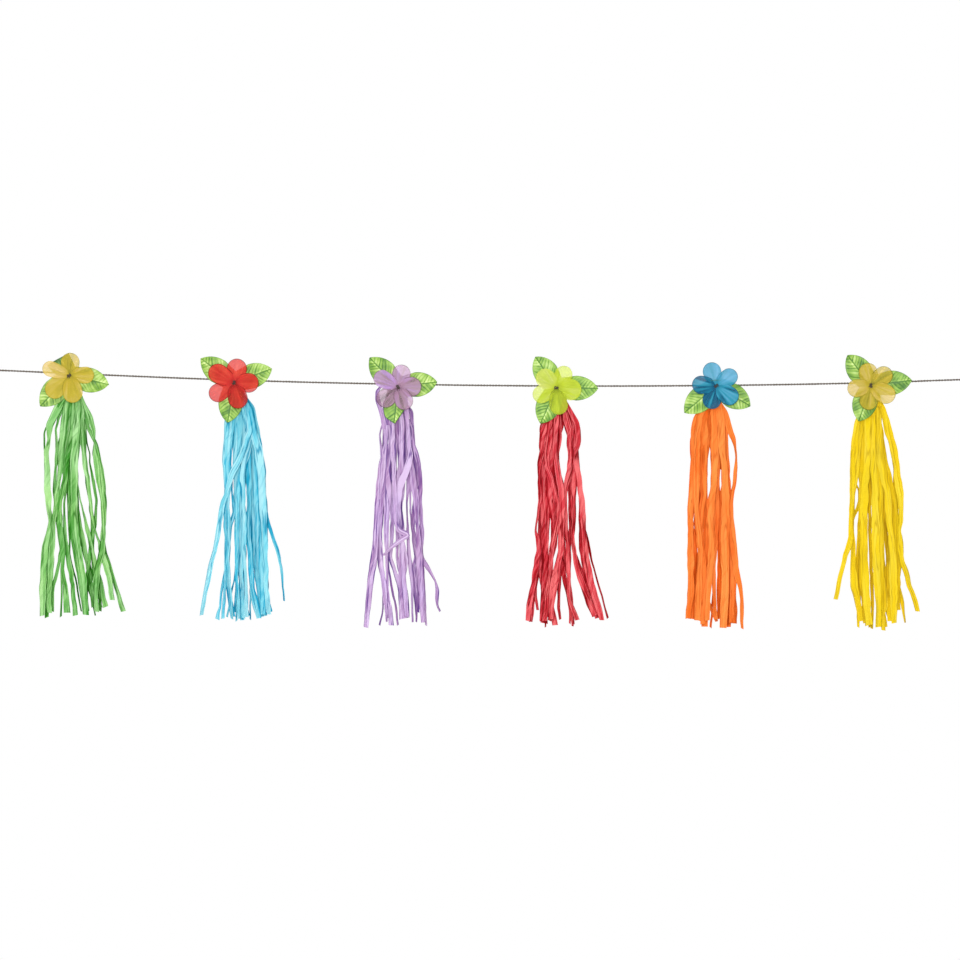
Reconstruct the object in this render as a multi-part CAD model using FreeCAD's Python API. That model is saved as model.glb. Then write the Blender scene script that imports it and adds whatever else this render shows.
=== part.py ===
"""Paper tassel garland: six paper tassels on a taut twine, each with a flower and a leaf spray.

Millimetres. +X runs right along the twine, +Y goes away from the front, +Z is up.
The origin is the eye of the left hanging loop, where the nail or hook goes through.
"""
import FreeCAD, Part
import math
import os
from FreeCAD import Vector

os.makedirs("parts", exist_ok=True)

# Twine and its tied hanging loops
twine_d = 1.8              # two-ply hemp twine
twine_sides = 6            # flats of the modelled twine, which has a round twine's section area
twine_gap = 0.2            # clearance round the twine where a piece grips it
loop_span = 1124.0         # left eye to right eye
loop_rise = -10.3          # height of the right eye over the left one
eye_d = 10.0               # nail or hook that each loop takes
knot_start = 19.0          # end knot: from the eye to its near face
knot_len = 8.0
knot_d = 7.4
knot_sides = 16
knot_slack = 0.35          # clearance of its straight holes round the strands
tail_rise = 1.3            # strands inside a knot, either side of its middle
throat_share = 0.74        # where the loop's strands open out of the knot, of knot_start
throat_rise = 2.6

# Where the six tassels are looped over the twine, from the left eye
unit_x = [113.0, 293.5, 471.5, 647.5, 821.5, 992.0]
unit_z = [-5.6, -13.1, -17.5, -19.5, -18.9, -16.0]
unit_names = ["green", "blue", "lilac", "red", "orange", "yellow"]

# Tassel head: the middle of the paper bundle, folded over the twine and bound below it
bundle_wall = 1.6          # pressed thickness of the folded strips over the twine
head_half_width = 8.0      # over the twine
waist_half_width = 6.6     # under the binding
skirt_half_width = 8.8     # where the strips leave the bound bundle
waist_half_depth = 3.4
skirt_half_depth = 4.4
waist_drop = 11.0          # twine to the middle of the binding
skirt_drop = 18.0          # twine to where the strips come free
binding_height = 4.0
binding_wall = 0.8
thread_bite = 0.4          # how deep the binding pulls into the paper
seat_gap = 0.15            # between pieces tied against each other

# Paper strips
paper = 0.25               # doubled and creased paper
root_width = 2.6           # a strip gathered into the head
root_share = 0.27          # how far across the head a strip starts, of its place lower down
root_sink = 3.0            # length of strip held in the head
spring_drop = 30.0         # height where the strips have opened into a shoulder
spring_below = 45.0        # a strip that comes into view lower than this has its shoulder hidden
root_pitch = 0.42          # depth from one strip to the next at the head
hem_pitch = 1.9            # and at the cut ends
hem_drop = 262.0
end_slant = 1.0            # out of square of a hand cut end
straight_slack = 2.2       # a strip that swings less than this from a straight line has no bend there

# Leaf spray, die cut in satin: three blades with a pressed midrib
leaf_cloth = 0.35
leaf_hub_cloth = 0.5       # where its three blades run together
leaf_half_width = 13.6
leaf_belly = 0.47          # widest place, of the reach
leaf_root_half_width = 8.7
leaf_fold = 6.0            # slope of each half blade from the midrib, degrees
leaf_lift = 5.0            # blades stand forward of the hub, degrees
leaf_facets = 6            # chords along each curved edge, belly to point
hub_radius = 6.0

# Flower, die cut in organza: five round petals
flower_cloth = 0.3
petal_radius = 10.8        # its rounded end
petal_lift = 13.0          # petals cup forward, degrees
petal_facets = 14          # chords round a petal
flower_hub_radius = 5.0
hub_facets = 12
tie_hole_d = 1.9
tie_hole_sides = 6
layer_gap = 0.3            # leaf spray to flower, and flower to knot

# Knot of waxed thread that ties flower and leaves to the tassel's head
thread_d = 1.3
thread_sides = 6
knot_reach = 3.6
knot_lays = [25, 115]      # directions of its two crossed turns, degrees

# Each row is one strip, front to back. Going down it from where it comes out of the bundle, each
# place is how far down from the twine, how far right of the twine's loop, and how wide the creased
# strip shows there. The last place is its cut end.
GREEN = [
    [(34, 7, 5), (65, 6, 7), (100, 3.5, 7), (150, 3.5, 7), (185, 6, 7), (205, 10, 7), (225, 14, 7),
     (265, 17.5, 6)],
    [(36, -14, 8), (58, -24.5, 7.5), (72, -24, 3), (86, -27, 5.5), (103, -25, 5.5), (128, -25.5, 7.5),
     (150, -24.5, 5), (163, -22.5, 3.5), (190, -28, 6), (215, -30, 6.5), (266, -31, 5.5)],
    [(34, 14, 3), (50, 21.5, 6), (62, 24.5, 4.5), (74, 25.5, 1), (88, 26.5, 6), (115, 31, 6.5),
     (140, 36, 5.5), (175, 36.5, 4), (195, 34, 6), (212, 29.5, 6), (240, 27, 6), (262, 28, 5)],
    [(36, 11.5, 4.5), (62, 12, 6), (90, 14.5, 5), (120, 18.5, 4.5), (150, 22, 3), (170, 26, 2),
     (183, 30, 2.5), (200, 35, 5.5), (222, 42, 4.5), (249, 45, 4.5)],
    [(36, 3, 5), (62, 3, 7), (88, -4, 6), (115, -7, 5.5), (140, -12, 4.5), (165, -12.5, 5),
     (190, -9.5, 5), (215, -9, 3), (235, -6, 5), (263, -4, 7)],
    [(35, -6, 5), (62, -9.5, 6), (90, -11, 5), (118, -13, 4), (135, -16, 6), (160, -19, 4.5),
     (185, -21.5, 6), (215, -23, 6), (240, -25, 6), (263, -23.5, 5)],
    [(35, -1, 5), (65, -5, 5), (92, -8.5, 4), (110, -8, 4), (130, -6, 2), (145, -8.5, 2), (175, -7, 3.5),
     (200, -4, 5), (225, .5, 4.5), (266, 4.5, 5)],
    [(50, 6, 4), (90, 1, 5), (120, -2, 5), (150, -1.5, 4.5), (180, 1, 3.5), (205, 5, 4), (230, 10, 4.5),
     (264, 16, 5)],
    [(60, 9, 5), (100, 5, 3), (125, 7, 1.3), (150, 11.5, 1.5), (172, 17.5, 4), (205, 24.5, 4.5),
     (230, 32, 4.5), (257, 37, 5)],
    [(60, 14, 3), (78, 17, 1.2), (88, 20, 1.3), (98, 19.5, 1.6), (120, 24, 3), (140, 27, 2.5),
     (165, 25.5, 3.5), (190, 20.5, 3.5), (215, 18, 3), (240, 15, 4), (262, 18, 4)],
    [(38, -10, 3), (62, -18, 2.2), (85, -16.5, 3), (105, -18.5, 2.5), (130, -18.5, 4), (150, -17, 4),
     (170, -15, 3), (182, -14, 2.5), (194, -11.5, 3), (212, -15.5, 3.5), (235, -20.5, 3.5),
     (262, -22, 3.5)],
    [(40, -4, 4), (75, -13, 3), (97, -15.5, 1.6), (112, -13, 1.6), (130, -15.5, 3), (160, -13, 4.5),
     (190, -11, 4), (220, -11.5, 2), (268, -12.5, 1.8)],
    [(60, 8, 4), (110, 3, 4), (150, 6.5, 2.5), (180, 11, 5), (210, 17, 4.5), (235, 21, 4.5),
     (257, 23.5, 5)],
    [(60, 18, 4), (80, 27, 3), (110, 33, 4), (145, 36, 4), (180, 33, 4), (200, 36.5, 4.5), (222, 44, 4),
     (242, 50, 4.5), (262, 56.5, 5.5)],
    [(50, -24, 2), (65, -30, 1.2), (82, -30.8, 1.3), (95, -29, 4), (120, -28, 3.5), (145, -27.5, 3.5),
     (165, -22.5, 4), (190, -25.5, 6), (220, -28, 5), (269, -28.5, 4)],
    [(60, -3, 4), (120, -5, 3), (170, -4, 2), (200, -3, 1.5), (225, 2.5, 1.3), (262, 9.5, 1.4)],
    [(80, 0, 4), (130, 1, 5), (180, 8, 5), (215, 20, 2), (235, 24.5, 1.5), (258, 31.5, 1.6)],
    [(70, 3, 5), (140, 0, 5), (190, 4, 4), (220, 10, 3), (250, 21, 2), (267, 24.5, 1.6)],
    [(80, 12, 3), (140, 19.5, 3), (175, 22, 4), (195, 21, 4), (220, 24, 5), (245, 30, 3), (262, 29, 4)],
]
BLUE = [
    [(38, 11, 6), (55, 15, 6), (72, 10, 6), (90, 3, 6), (105, -4, 5), (119, -8.5, 4), (135, -13, 5),
     (160, -17.5, 5), (185, -22, 4.5), (210, -28, 4.5), (235, -33, 4), (258, -36.5, 4)],
    [(32, 15, 5), (45, 17.5, 6), (60, 20.5, 7), (75, 25, 8), (95, 27.5, 7.5), (120, 29.5, 7),
     (145, 30.5, 6.5), (165, 31, 5), (185, 32, 6), (205, 33.5, 5.5), (230, 34, 5), (257, 37.5, 4.5)],
    [(34, 8, 4), (58, 15.5, 5), (80, 7, 5.5), (100, -2.5, 5), (114, -6, 3.5), (128, -8.5, 3),
     (160, -7, 3.5), (200, -8.5, 4), (262, -3.5, 3)],
    [(45, 16, 5), (62, 15.5, 5), (75, 13, 5), (90, 9, 5), (105, 7, 5), (125, 8, 5), (140, 9, 4),
     (165, 10.5, 5), (185, 9, 4.5), (200, 10.5, 3), (220, 12, 3), (240, 12.5, 3.5), (260, 12.5, 4)],
    [(34, 12, 4), (62, 18, 5), (90, 10, 5.5), (118, 3, 4.5), (130, 1.5, 4), (172, 1.5, 4), (214, 1, 3),
     (262, 5, 3)],
    [(34, -3, 6), (60, -7, 7), (90, -9, 7), (115, -9, 5), (128, -11.5, 3), (150, -12, 3), (200, -10, 3),
     (240, -12, 3), (262, -14, 3)],
    [(46, -9.5, 5.5), (80, -11, 6), (100, -11, 5.5), (115, -11, 4), (130, -10.5, 2), (146, -9.5, 1.6),
     (162, -8.5, 4), (180, -9, 5.5), (200, -9.5, 5.5), (220, -9, 5), (240, -6.5, 4.5), (260, -3, 5)],
    [(46, -5, 5), (62, -6, 4.5), (85, -6.5, 4.5), (105, -5, 2), (125, -4, 1.5), (145, -2, 4),
     (158, -6, 4), (180, -8, 5), (205, -10, 4.5), (220, -13, 3), (235, -16, 2), (250, -17.5, 2.2),
     (263, -20, 4)],
    [(40, 3, 7), (70, 2, 8), (100, 1, 8), (130, 3, 8), (160, 4, 6), (200, 5, 5), (262, 8, 4)],
    [(60, 13, 4), (80, 14, 5), (100, 14, 5), (120, 14, 5), (140, 14, 5), (160, 13, 6), (172, 13.5, 5),
     (190, 16, 5), (210, 17, 5), (230, 18, 5.5), (248, 22, 6), (262, 25, 5.5)],
    [(38, 6.5, 6), (60, 6.5, 6), (80, 5, 5), (100, 4, 5.5), (120, 3.5, 6), (140, 4, 5), (165, 5, 5),
     (190, 7, 4.5), (200, 5.5, 2.5), (225, 4, 2), (245, 4.5, 2), (264, 7, 3.5)],
    [(32, 17, 3), (42, 19.5, 1.5), (49, 21, 1.8), (60, 21.5, 3), (85, 22, 4.5), (110, 25, 4.5),
     (135, 27, 4), (160, 29, 4), (185, 27, 4.5), (205, 28, 5), (230, 30, 6), (258, 29.5, 6)],
    [(50, 17, 5), (70, 19, 5), (90, 21, 5), (110, 22, 5.5), (140, 23, 6), (165, 24, 6), (185, 23.5, 5),
     (205, 25, 5), (225, 30, 6), (256, 36.5, 5)],
    [(44, 0, 6), (70, -1, 6), (95, 0, 4.5), (120, -1, 3.5), (140, 0, 4.5), (165, 0, 5), (190, 1, 4.5),
     (205, 0, 2), (225, 0, 1.6), (265, 0, 1.8)],
    [(60, 20, 4), (100, 27, 4), (135, 31, 3.5), (152, 33.5, 3), (165, 38, 3.6), (185, 44.5, 3.4),
     (205, 49.2, 2.8), (225, 51, 2), (243, 52, 2)],
    [(60, 10, 6), (100, 9, 6), (130, 7, 4), (150, 8, 5), (170, 6, 4.5), (190, 8, 4.5), (210, 9, 2.2),
     (230, 8.5, 3), (250, 10.5, 4), (260, 13, 4)],
    [(60, 16, 5), (100, 19, 5.5), (140, 19, 5.5), (170, 20, 5), (200, 21, 5), (225, 25, 6), (245, 27, 6),
     (260, 30, 6)],
    [(60, -2, 5), (110, -1, 4), (160, 0, 4), (200, 0, 2.5), (215, -2.5, 1.6), (232, -5, 1.6),
     (247, -8, 1.8), (261, -11, 1.8)],
    [(60, 12, 5), (120, 17, 5), (160, 18, 5), (200, 17, 4), (225, 16.5, 3), (240, 15, 2),
     (264, 14.8, 1.5)],
    [(60, 24, 5), (100, 30, 4), (150, 32, 4), (190, 31, 5), (225, 33, 4.5), (254, 32, 3)],
    [(70, 3, 6), (130, 3, 6), (180, 3, 5), (205, 1, 2.5), (240, -1, 3), (256, -1, 4)],
]
LILAC = [
    [(40, -6, 5), (80, -5, 5), (120, -3, 4), (150, -2, 4), (161, 1, 6), (165.5, 12.5, 6), (171, 4, 5),
     (179, -6, 3), (188, -15.5, 2)],
    [(60, 12, 4), (80, 14, 5), (92, 11, 6.5), (104, 6, 7), (116, 1, 6), (130, 1.5, 5), (150, 3, 4.5),
     (175, 5, 4), (215, 7, 4), (255, 10, 4)],
    [(36, -13.5, 4), (48, -18, 1.6), (56, -19.3, 1.6), (68, -18, 2.5), (80, -17, 3.5), (92, -19, 4.5),
     (110, -21, 5), (130, -22, 4.5), (150, -23, 5), (170, -24, 6.5), (190, -26, 7), (210, -28.5, 6.5),
     (235, -31, 5.5), (267, -35, 4.6)],
    [(38, -12, 5), (65, -13, 4.5), (80, -14, 5), (100, -15, 5.5), (120, -17, 5), (140, -19, 4.5),
     (165, -19.5, 4.5), (185, -19, 4.5), (200, -18, 5), (218, -15, 5), (238, -13, 4.5), (261, -11.5, 2)],
    [(40, -7, 5), (55, -8, 4), (75, -10, 4), (100, -11, 6), (125, -12, 7), (150, -12, 6), (170, -12, 5),
     (190, -12, 3), (205, -11, 2.5), (225, -11.5, 3), (245, -9, 5), (265, -7, 5)],
    [(38, 4, 5), (55, 5, 5), (70, 4, 5), (85, 4, 6), (100, 6, 6), (115, 4, 6), (135, 2, 6), (150, 2, 6),
     (165, 3, 5), (180, 7, 5), (195, 9, 5), (210, 8, 3), (225, 10, 2), (256, 12, 2)],
    [(36, 2, 6), (60, 3, 6), (80, 4.5, 5), (100, 1.5, 6), (120, 0, 6), (145, 3, 5), (170, 5, 5),
     (200, 3, 5), (235, 4, 6), (258, 6, 8)],
    [(38, 11, 3), (50, 12, 4), (65, 13, 5), (80, 14, 5), (95, 17, 6), (110, 18, 6), (125, 20, 6),
     (140, 21, 5.5), (155, 22, 4), (175, 23.5, 4.5), (190, 24, 6), (205, 25, 6), (225, 26, 5.5),
     (245, 27, 5), (262, 28, 4)],
    [(43, -2, 6), (60, -2, 6), (80, -4, 6), (100, -4, 5), (115, -5, 5), (135, -6, 5), (155, -6, 4),
     (175, -7, 4), (190, -8, 4.5), (207, -3, 4), (222, 1.5, 3.5), (236, 6, 7), (257, 7.5, 9)],
    [(34, 9, 3), (43, 14, 2), (50, 16.6, 1.8), (58, 16, 2), (65, 16.5, 3), (74, 19.5, 4.5), (86, 22.5, 4),
     (98, 24, 4), (115, 25, 3.5), (135, 25, 3.5), (150, 26, 4), (163, 27, 3.5), (180, 26, 3.5),
     (191, 28, 3), (200, 32, 5), (207, 36.5, 3), (217, 42, 1.6), (226, 43.8, 3.6), (236, 43, 3.8),
     (244, 44, 2), (250, 47, 1.6)],
    [(45, -9, 4), (70, -8, 4), (90, -8.5, 4.5), (105, -8, 4), (150, -11, 3), (190, -12, 2),
     (205, -10, 1.8), (220, -7.5, 2.2), (235, -4.5, 2), (248, -1.5, 2.2), (265, 1, 1.8)],
    [(60, 9, 3), (80, 11, 4), (100, 12, 5), (115, 11, 4), (130, 9.5, 1.6), (145, 10, 1.6), (160, 11, 3),
     (175, 11.5, 3), (190, 13, 4), (205, 14, 4.5), (225, 16, 3), (245, 16, 2), (262, 16, 1.8)],
    [(60, 12, 3), (95, 14, 3), (130, 13.2, 1.6), (147, 14.2, 1.6), (160, 15.5, 2.5), (178, 18, 3),
     (192, 20.5, 4), (210, 21, 3), (228, 22.5, 2.5), (251, 22.8, 2)],
    [(60, 6, 4), (90, 8, 5), (120, 5, 4), (150, 0, 4), (170, -1, 4), (190, -1, 3), (205, 3, 5),
     (215, 6, 4), (228, 10, 2), (245, 11, 1.8), (255, 11.5, 1.6)],
    [(70, 18, 4), (110, 21, 4), (140, 17, 4), (160, 17.5, 3), (180, 22, 3), (200, 17, 3), (215, 17, 5),
     (232, 19, 4), (262, 20.5, 1.8)],
    [(60, 2, 4), (100, 3, 4), (125, 2, 5), (145, 1, 5), (165, 4, 4), (185, 5, 4), (205, 6, 3),
     (220, 7, 2.5), (235, 5, 2), (248, 6, 3)],
    [(70, 17, 4), (100, 23, 3), (130, 24.5, 3), (150, 26, 3.5), (175, 26, 3), (195, 26.5, 4),
     (215, 28, 4), (240, 29, 3.5), (266, 31, 2)],
    [(70, -15, 4), (110, -20, 4), (140, -22.5, 3.5), (170, -22, 4), (195, -21, 2.5), (215, -18, 2),
     (240, -14, 3), (258, -12, 2)],
    [(60, -8, 4), (110, -14, 4), (160, -20, 4), (200, -18.5, 3), (230, -16, 2), (248, -17, 1.4),
     (266, -20, 1.4)],
]
RED = [
    [(40, -2, 5), (75, -2, 5), (90, 0, 5), (105, 2, 5), (120, 4, 5.5), (135, 4.5, 6), (150, 4.5, 6),
     (165, 3.5, 5.5), (180, 3, 5), (195, 0, 5.5), (210, -3, 6.5), (225, -5, 6.5), (240, -7.5, 5),
     (256, -8, 5)],
    [(34, 17, 5), (40, 20.5, 5), (50, 22, 5), (62, 22.5, 4.5), (72, 21, 4), (85, 20, 5), (95, 22, 4.5),
     (110, 24, 4.5), (125, 26, 5), (155, 28, 5), (170, 29, 5.5), (190, 31, 6), (210, 35, 6), (230, 40, 6),
     (245, 45, 5.5), (257, 48.5, 4.5)],
    [(42, -9, 5), (60, -9, 6), (75, -12, 5), (88, -12, 4), (100, -8, 4), (115, -4, 4), (130, 0, 4),
     (145, 0, 3.5), (160, -3, 5), (175, -6, 5), (190, -8, 5), (205, -9, 2.5), (225, -12, 4),
     (258, -14.5, 5)],
    [(34, 9, 6), (50, 14, 6), (65, 13, 5), (80, 15, 6), (93, 14, 7), (105, 10, 5), (115, 8, 4),
     (130, 8.5, 3.5), (150, 9, 3.5), (170, 10, 3), (185, 11, 4), (200, 11, 4.5), (215, 12, 3),
     (230, 12, 3), (245, 17, 4), (257, 21, 4.5)],
    [(42, -9, 6), (55, -14, 6), (70, -17, 5), (85, -20.5, 4), (100, -21, 2.5), (125, -19.5, 3),
     (140, -22, 2.5), (153, -24.5, 1.8), (160, -25, 2), (168, -22.5, 4), (180, -21, 5), (200, -24, 5),
     (220, -27, 4.5), (240, -31, 5), (258, -32, 5)],
    [(50, -6, 7), (80, -7, 8), (110, -8, 8), (135, -6, 6), (160, -5, 3), (185, -6, 2.5), (210, -8, 3),
     (258, -9, 3)],
    [(60, 20, 4), (90, 19, 5), (125, 17, 5), (150, 17, 4), (165, 15.5, 3), (180, 17.5, 4), (195, 20, 4.5),
     (210, 24, 5), (225, 30, 5.5), (240, 35.5, 5.5), (252, 41, 5.5)],
    [(50, -11, 5), (80, -12, 5), (110, -13, 6), (130, -11, 7), (150, -11, 5), (170, -12.5, 4),
     (190, -13, 4), (212, -13, 4), (235, -8, 5), (263, -3, 5)],
    [(50, -15, 6), (85, -14, 7), (120, -14, 7), (150, -14, 7), (180, -14, 6), (200, -15, 4),
     (230, -16, 5), (258, -17, 5)],
    [(36, 16, 7), (55, 18, 7), (75, 18, 5), (95, 18, 5), (120, 19, 6), (150, 19, 5), (180, 22, 5),
     (215, 30, 5), (255, 44, 6)],
    [(38, 1, 5), (55, 2, 5), (70, 1, 4), (85, -1, 3), (100, 0, 3), (115, 4, 3), (130, 7, 3), (150, 8, 3),
     (165, 6, 2), (180, 7, 2.5), (195, 9, 3.5), (210, 12, 3), (225, 14, 3), (245, 15.5, 3),
     (264, 17, 2.2)],
    [(42, -18, 1.5), (48, -19.5, 1.5), (58, -18.5, 2.5), (66, -17.5, 4), (78, -16, 4), (95, -15, 5),
     (115, -16, 6), (130, -14, 6), (150, -15, 6), (170, -16, 6), (190, -18, 4), (203, -20, 3.5),
     (220, -17, 3), (240, -15, 6), (261, -15, 6)],
    [(42, -4, 4), (60, -5, 4), (80, -6, 6), (100, -5, 5), (120, -3, 4), (140, -3.5, 4), (155, 0, 3),
     (172, -2, 3), (190, -6, 2.5), (210, -10, 2.2), (230, -10, 3), (254, -10.5, 3)],
    [(60, 11, 4), (95, 14, 4), (110, 15.5, 6), (140, 15, 6), (155, 14, 4), (170, 13, 3), (190, 13, 3),
     (210, 13, 1.8), (225, 14, 1.6), (245, 16, 3), (263, 17, 2.5)],
    [(60, 17, 4), (100, 19, 3), (125, 20, 2.5), (145, 20, 4), (165, 22, 4), (185, 24, 4.5),
     (205, 26.5, 4.5), (225, 34, 5), (245, 41, 5), (253, 43, 5)],
    [(60, 5, 4), (110, 7, 4), (150, 6, 3), (180, 6, 3), (200, 6, 4), (215, 8, 4), (230, 11, 3.5),
     (245, 13.5, 3), (262, 14, 1.6)],
    [(60, 2, 4), (110, 3, 4), (150, 3, 4), (185, 5, 3), (200, 3, 4), (215, 1, 4), (232, 1.5, 2.4),
     (245, 1, 3), (257, 3.5, 2)],
    [(60, -12, 4), (110, -18, 4), (150, -19, 4), (180, -19, 4), (205, -21, 4), (222, -25, 3),
     (234, -24, 3), (247, -21.8, 2.6)],
    [(60, 20, 4), (110, 24, 3), (150, 28, 2), (162, 31, 2.5), (175, 34, 2.5), (190, 37.5, 1.8),
     (207, 42, 1.6), (225, 47, 1.8), (242, 52, 1.8), (256, 56, 1.8)],
    [(70, -14, 4), (130, -19, 3), (180, -20, 4), (215, -24, 3.5), (240, -27.5, 3.5), (260, -29, 3.5)],
    [(100, -8, 5), (160, -13, 3), (200, -12, 3), (240, -12, 2), (266, -13.5, 1.4)],
]
ORANGE = [
    [(28, 4, 7), (60, 6, 7), (90, 8.5, 5.5), (115, 10, 7), (140, 10, 7.5), (165, 9, 7), (215, 9, 7),
     (240, 8, 7.5), (266, 7, 6.5)],
    [(30, -3, 6), (60, -2, 7), (90, -3, 6.5), (115, -4, 6.5), (140, -6, 5.5), (165, -6, 6),
     (190, -6.5, 6), (210, -8, 5), (235, -9.5, 5), (258, -10.5, 5)],
    [(34, -18, 6), (55, -21, 6), (80, -22, 5.5), (100, -21.5, 6), (130, -22, 5), (160, -19.5, 5),
     (185, -18, 5), (210, -19, 6), (235, -20, 6), (258, -21, 5)],
    [(30, 10, 5), (45, 14, 5.5), (58, 18.5, 5), (67, 20.8, 2.6), (80, 21.7, 2.2), (92, 22, 3),
     (102, 20.5, 3.5), (115, 18, 3.5), (130, 16, 4), (150, 16, 5), (170, 17.5, 6), (190, 19.5, 6.5),
     (208, 23, 6), (222, 26, 4), (235, 27.5, 3.4), (250, 28, 3.4), (267, 27.5, 2.5)],
    [(50, -14, 7), (90, -14, 7), (120, -14.5, 5), (160, -18.5, 4), (200, -14.5, 6), (262, -15, 6)],
    [(35, -22, 4), (50, -25, 4), (75, -25, 5), (100, -26, 6), (125, -28, 5.5), (150, -28.5, 5),
     (175, -28.5, 5), (200, -28, 6), (225, -28, 6), (245, -30, 6), (256, -31.5, 5.5)],
    [(32, -12, 6), (50, -15, 6), (75, -17, 6), (100, -14.5, 2.5), (120, -14, 4), (150, -16, 4),
     (165, -17, 4), (180, -17, 3.5), (200, -14, 6), (230, -13, 6), (265, -13, 6.5)],
    [(50, -3, 7), (90, -3, 6), (130, -7, 6), (165, -9, 5), (200, -11, 6), (250, -12, 6)],
    [(50, 1, 5), (110, .5, 5), (150, .5, 5), (175, -1, 5), (195, -3, 5), (215, -2.5, 3.5), (235, -2, 3.5),
     (257, 0, 4)],
    [(30, -8, 5), (55, -9, 5), (80, -11.5, 5), (105, -12, 4), (125, -11, 3), (150, -10.5, 5),
     (175, -10.5, 6), (200, -10, 5), (225, -10.5, 5), (245, -13, 6), (259, -17, 6)],
    [(60, 6, 8), (90, 8, 6), (130, 8, 8), (180, 8, 8), (230, 9, 8), (262, 9, 7)],
    [(60, 13, 4), (120, 15, 4), (180, 17, 5), (210, 19, 6), (235, 18.5, 5), (261, 18, 6)],
    [(55, 11, 4), (100, 12, 4), (120, 14, 4), (150, 14, 4), (180, 15, 5), (210, 16, 6), (240, 14, 7),
     (266, 13, 6)],
    [(60, -24, 6), (100, -24, 6), (130, -25, 6), (150, -28, 4), (172, -24, 5), (185, -25, 7),
     (230, -26, 7), (257, -27, 7)],
    [(60, 4, 4), (92, 3, 3), (108, 3.4, 2), (125, 4.6, 3), (160, 4.6, 3), (200, 3.6, 3), (230, 3.2, 3),
     (257, 3.5, 3.5)],
    [(60, 13, 6), (110, 15, 6), (160, 15, 6), (200, 19, 7), (240, 20, 6), (262, 20, 6)],
    [(60, -23, 4), (100, -26, 4), (150, -27, 3), (172, -26, 5), (190, -24, 6), (215, -24, 6),
     (257, -27, 6)],
    [(60, 8, 5), (95, 10.5, 3), (130, 12, 5), (170, 13, 4), (210, 14, 5), (240, 10, 5), (262, 10, 4)],
    [(60, -5, 5), (85, -5, 3), (120, -6, 4), (170, -4, 5), (205, -9, 3), (235, -8, 3), (250, -3, 3),
     (260, 1.5, 3)],
    [(60, 0, 4), (110, -2, 4), (150, -3, 4), (190, -1.5, 3), (225, -2, 2), (245, -3.4, 1.8),
     (267, -4.2, 1.7)],
    [(60, -18, 5), (95, -17, 5), (122, -17, 5), (148, -21, 4), (185, -22, 4), (230, -17, 5),
     (247, -18, 4), (258, -19, 4)],
]
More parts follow.
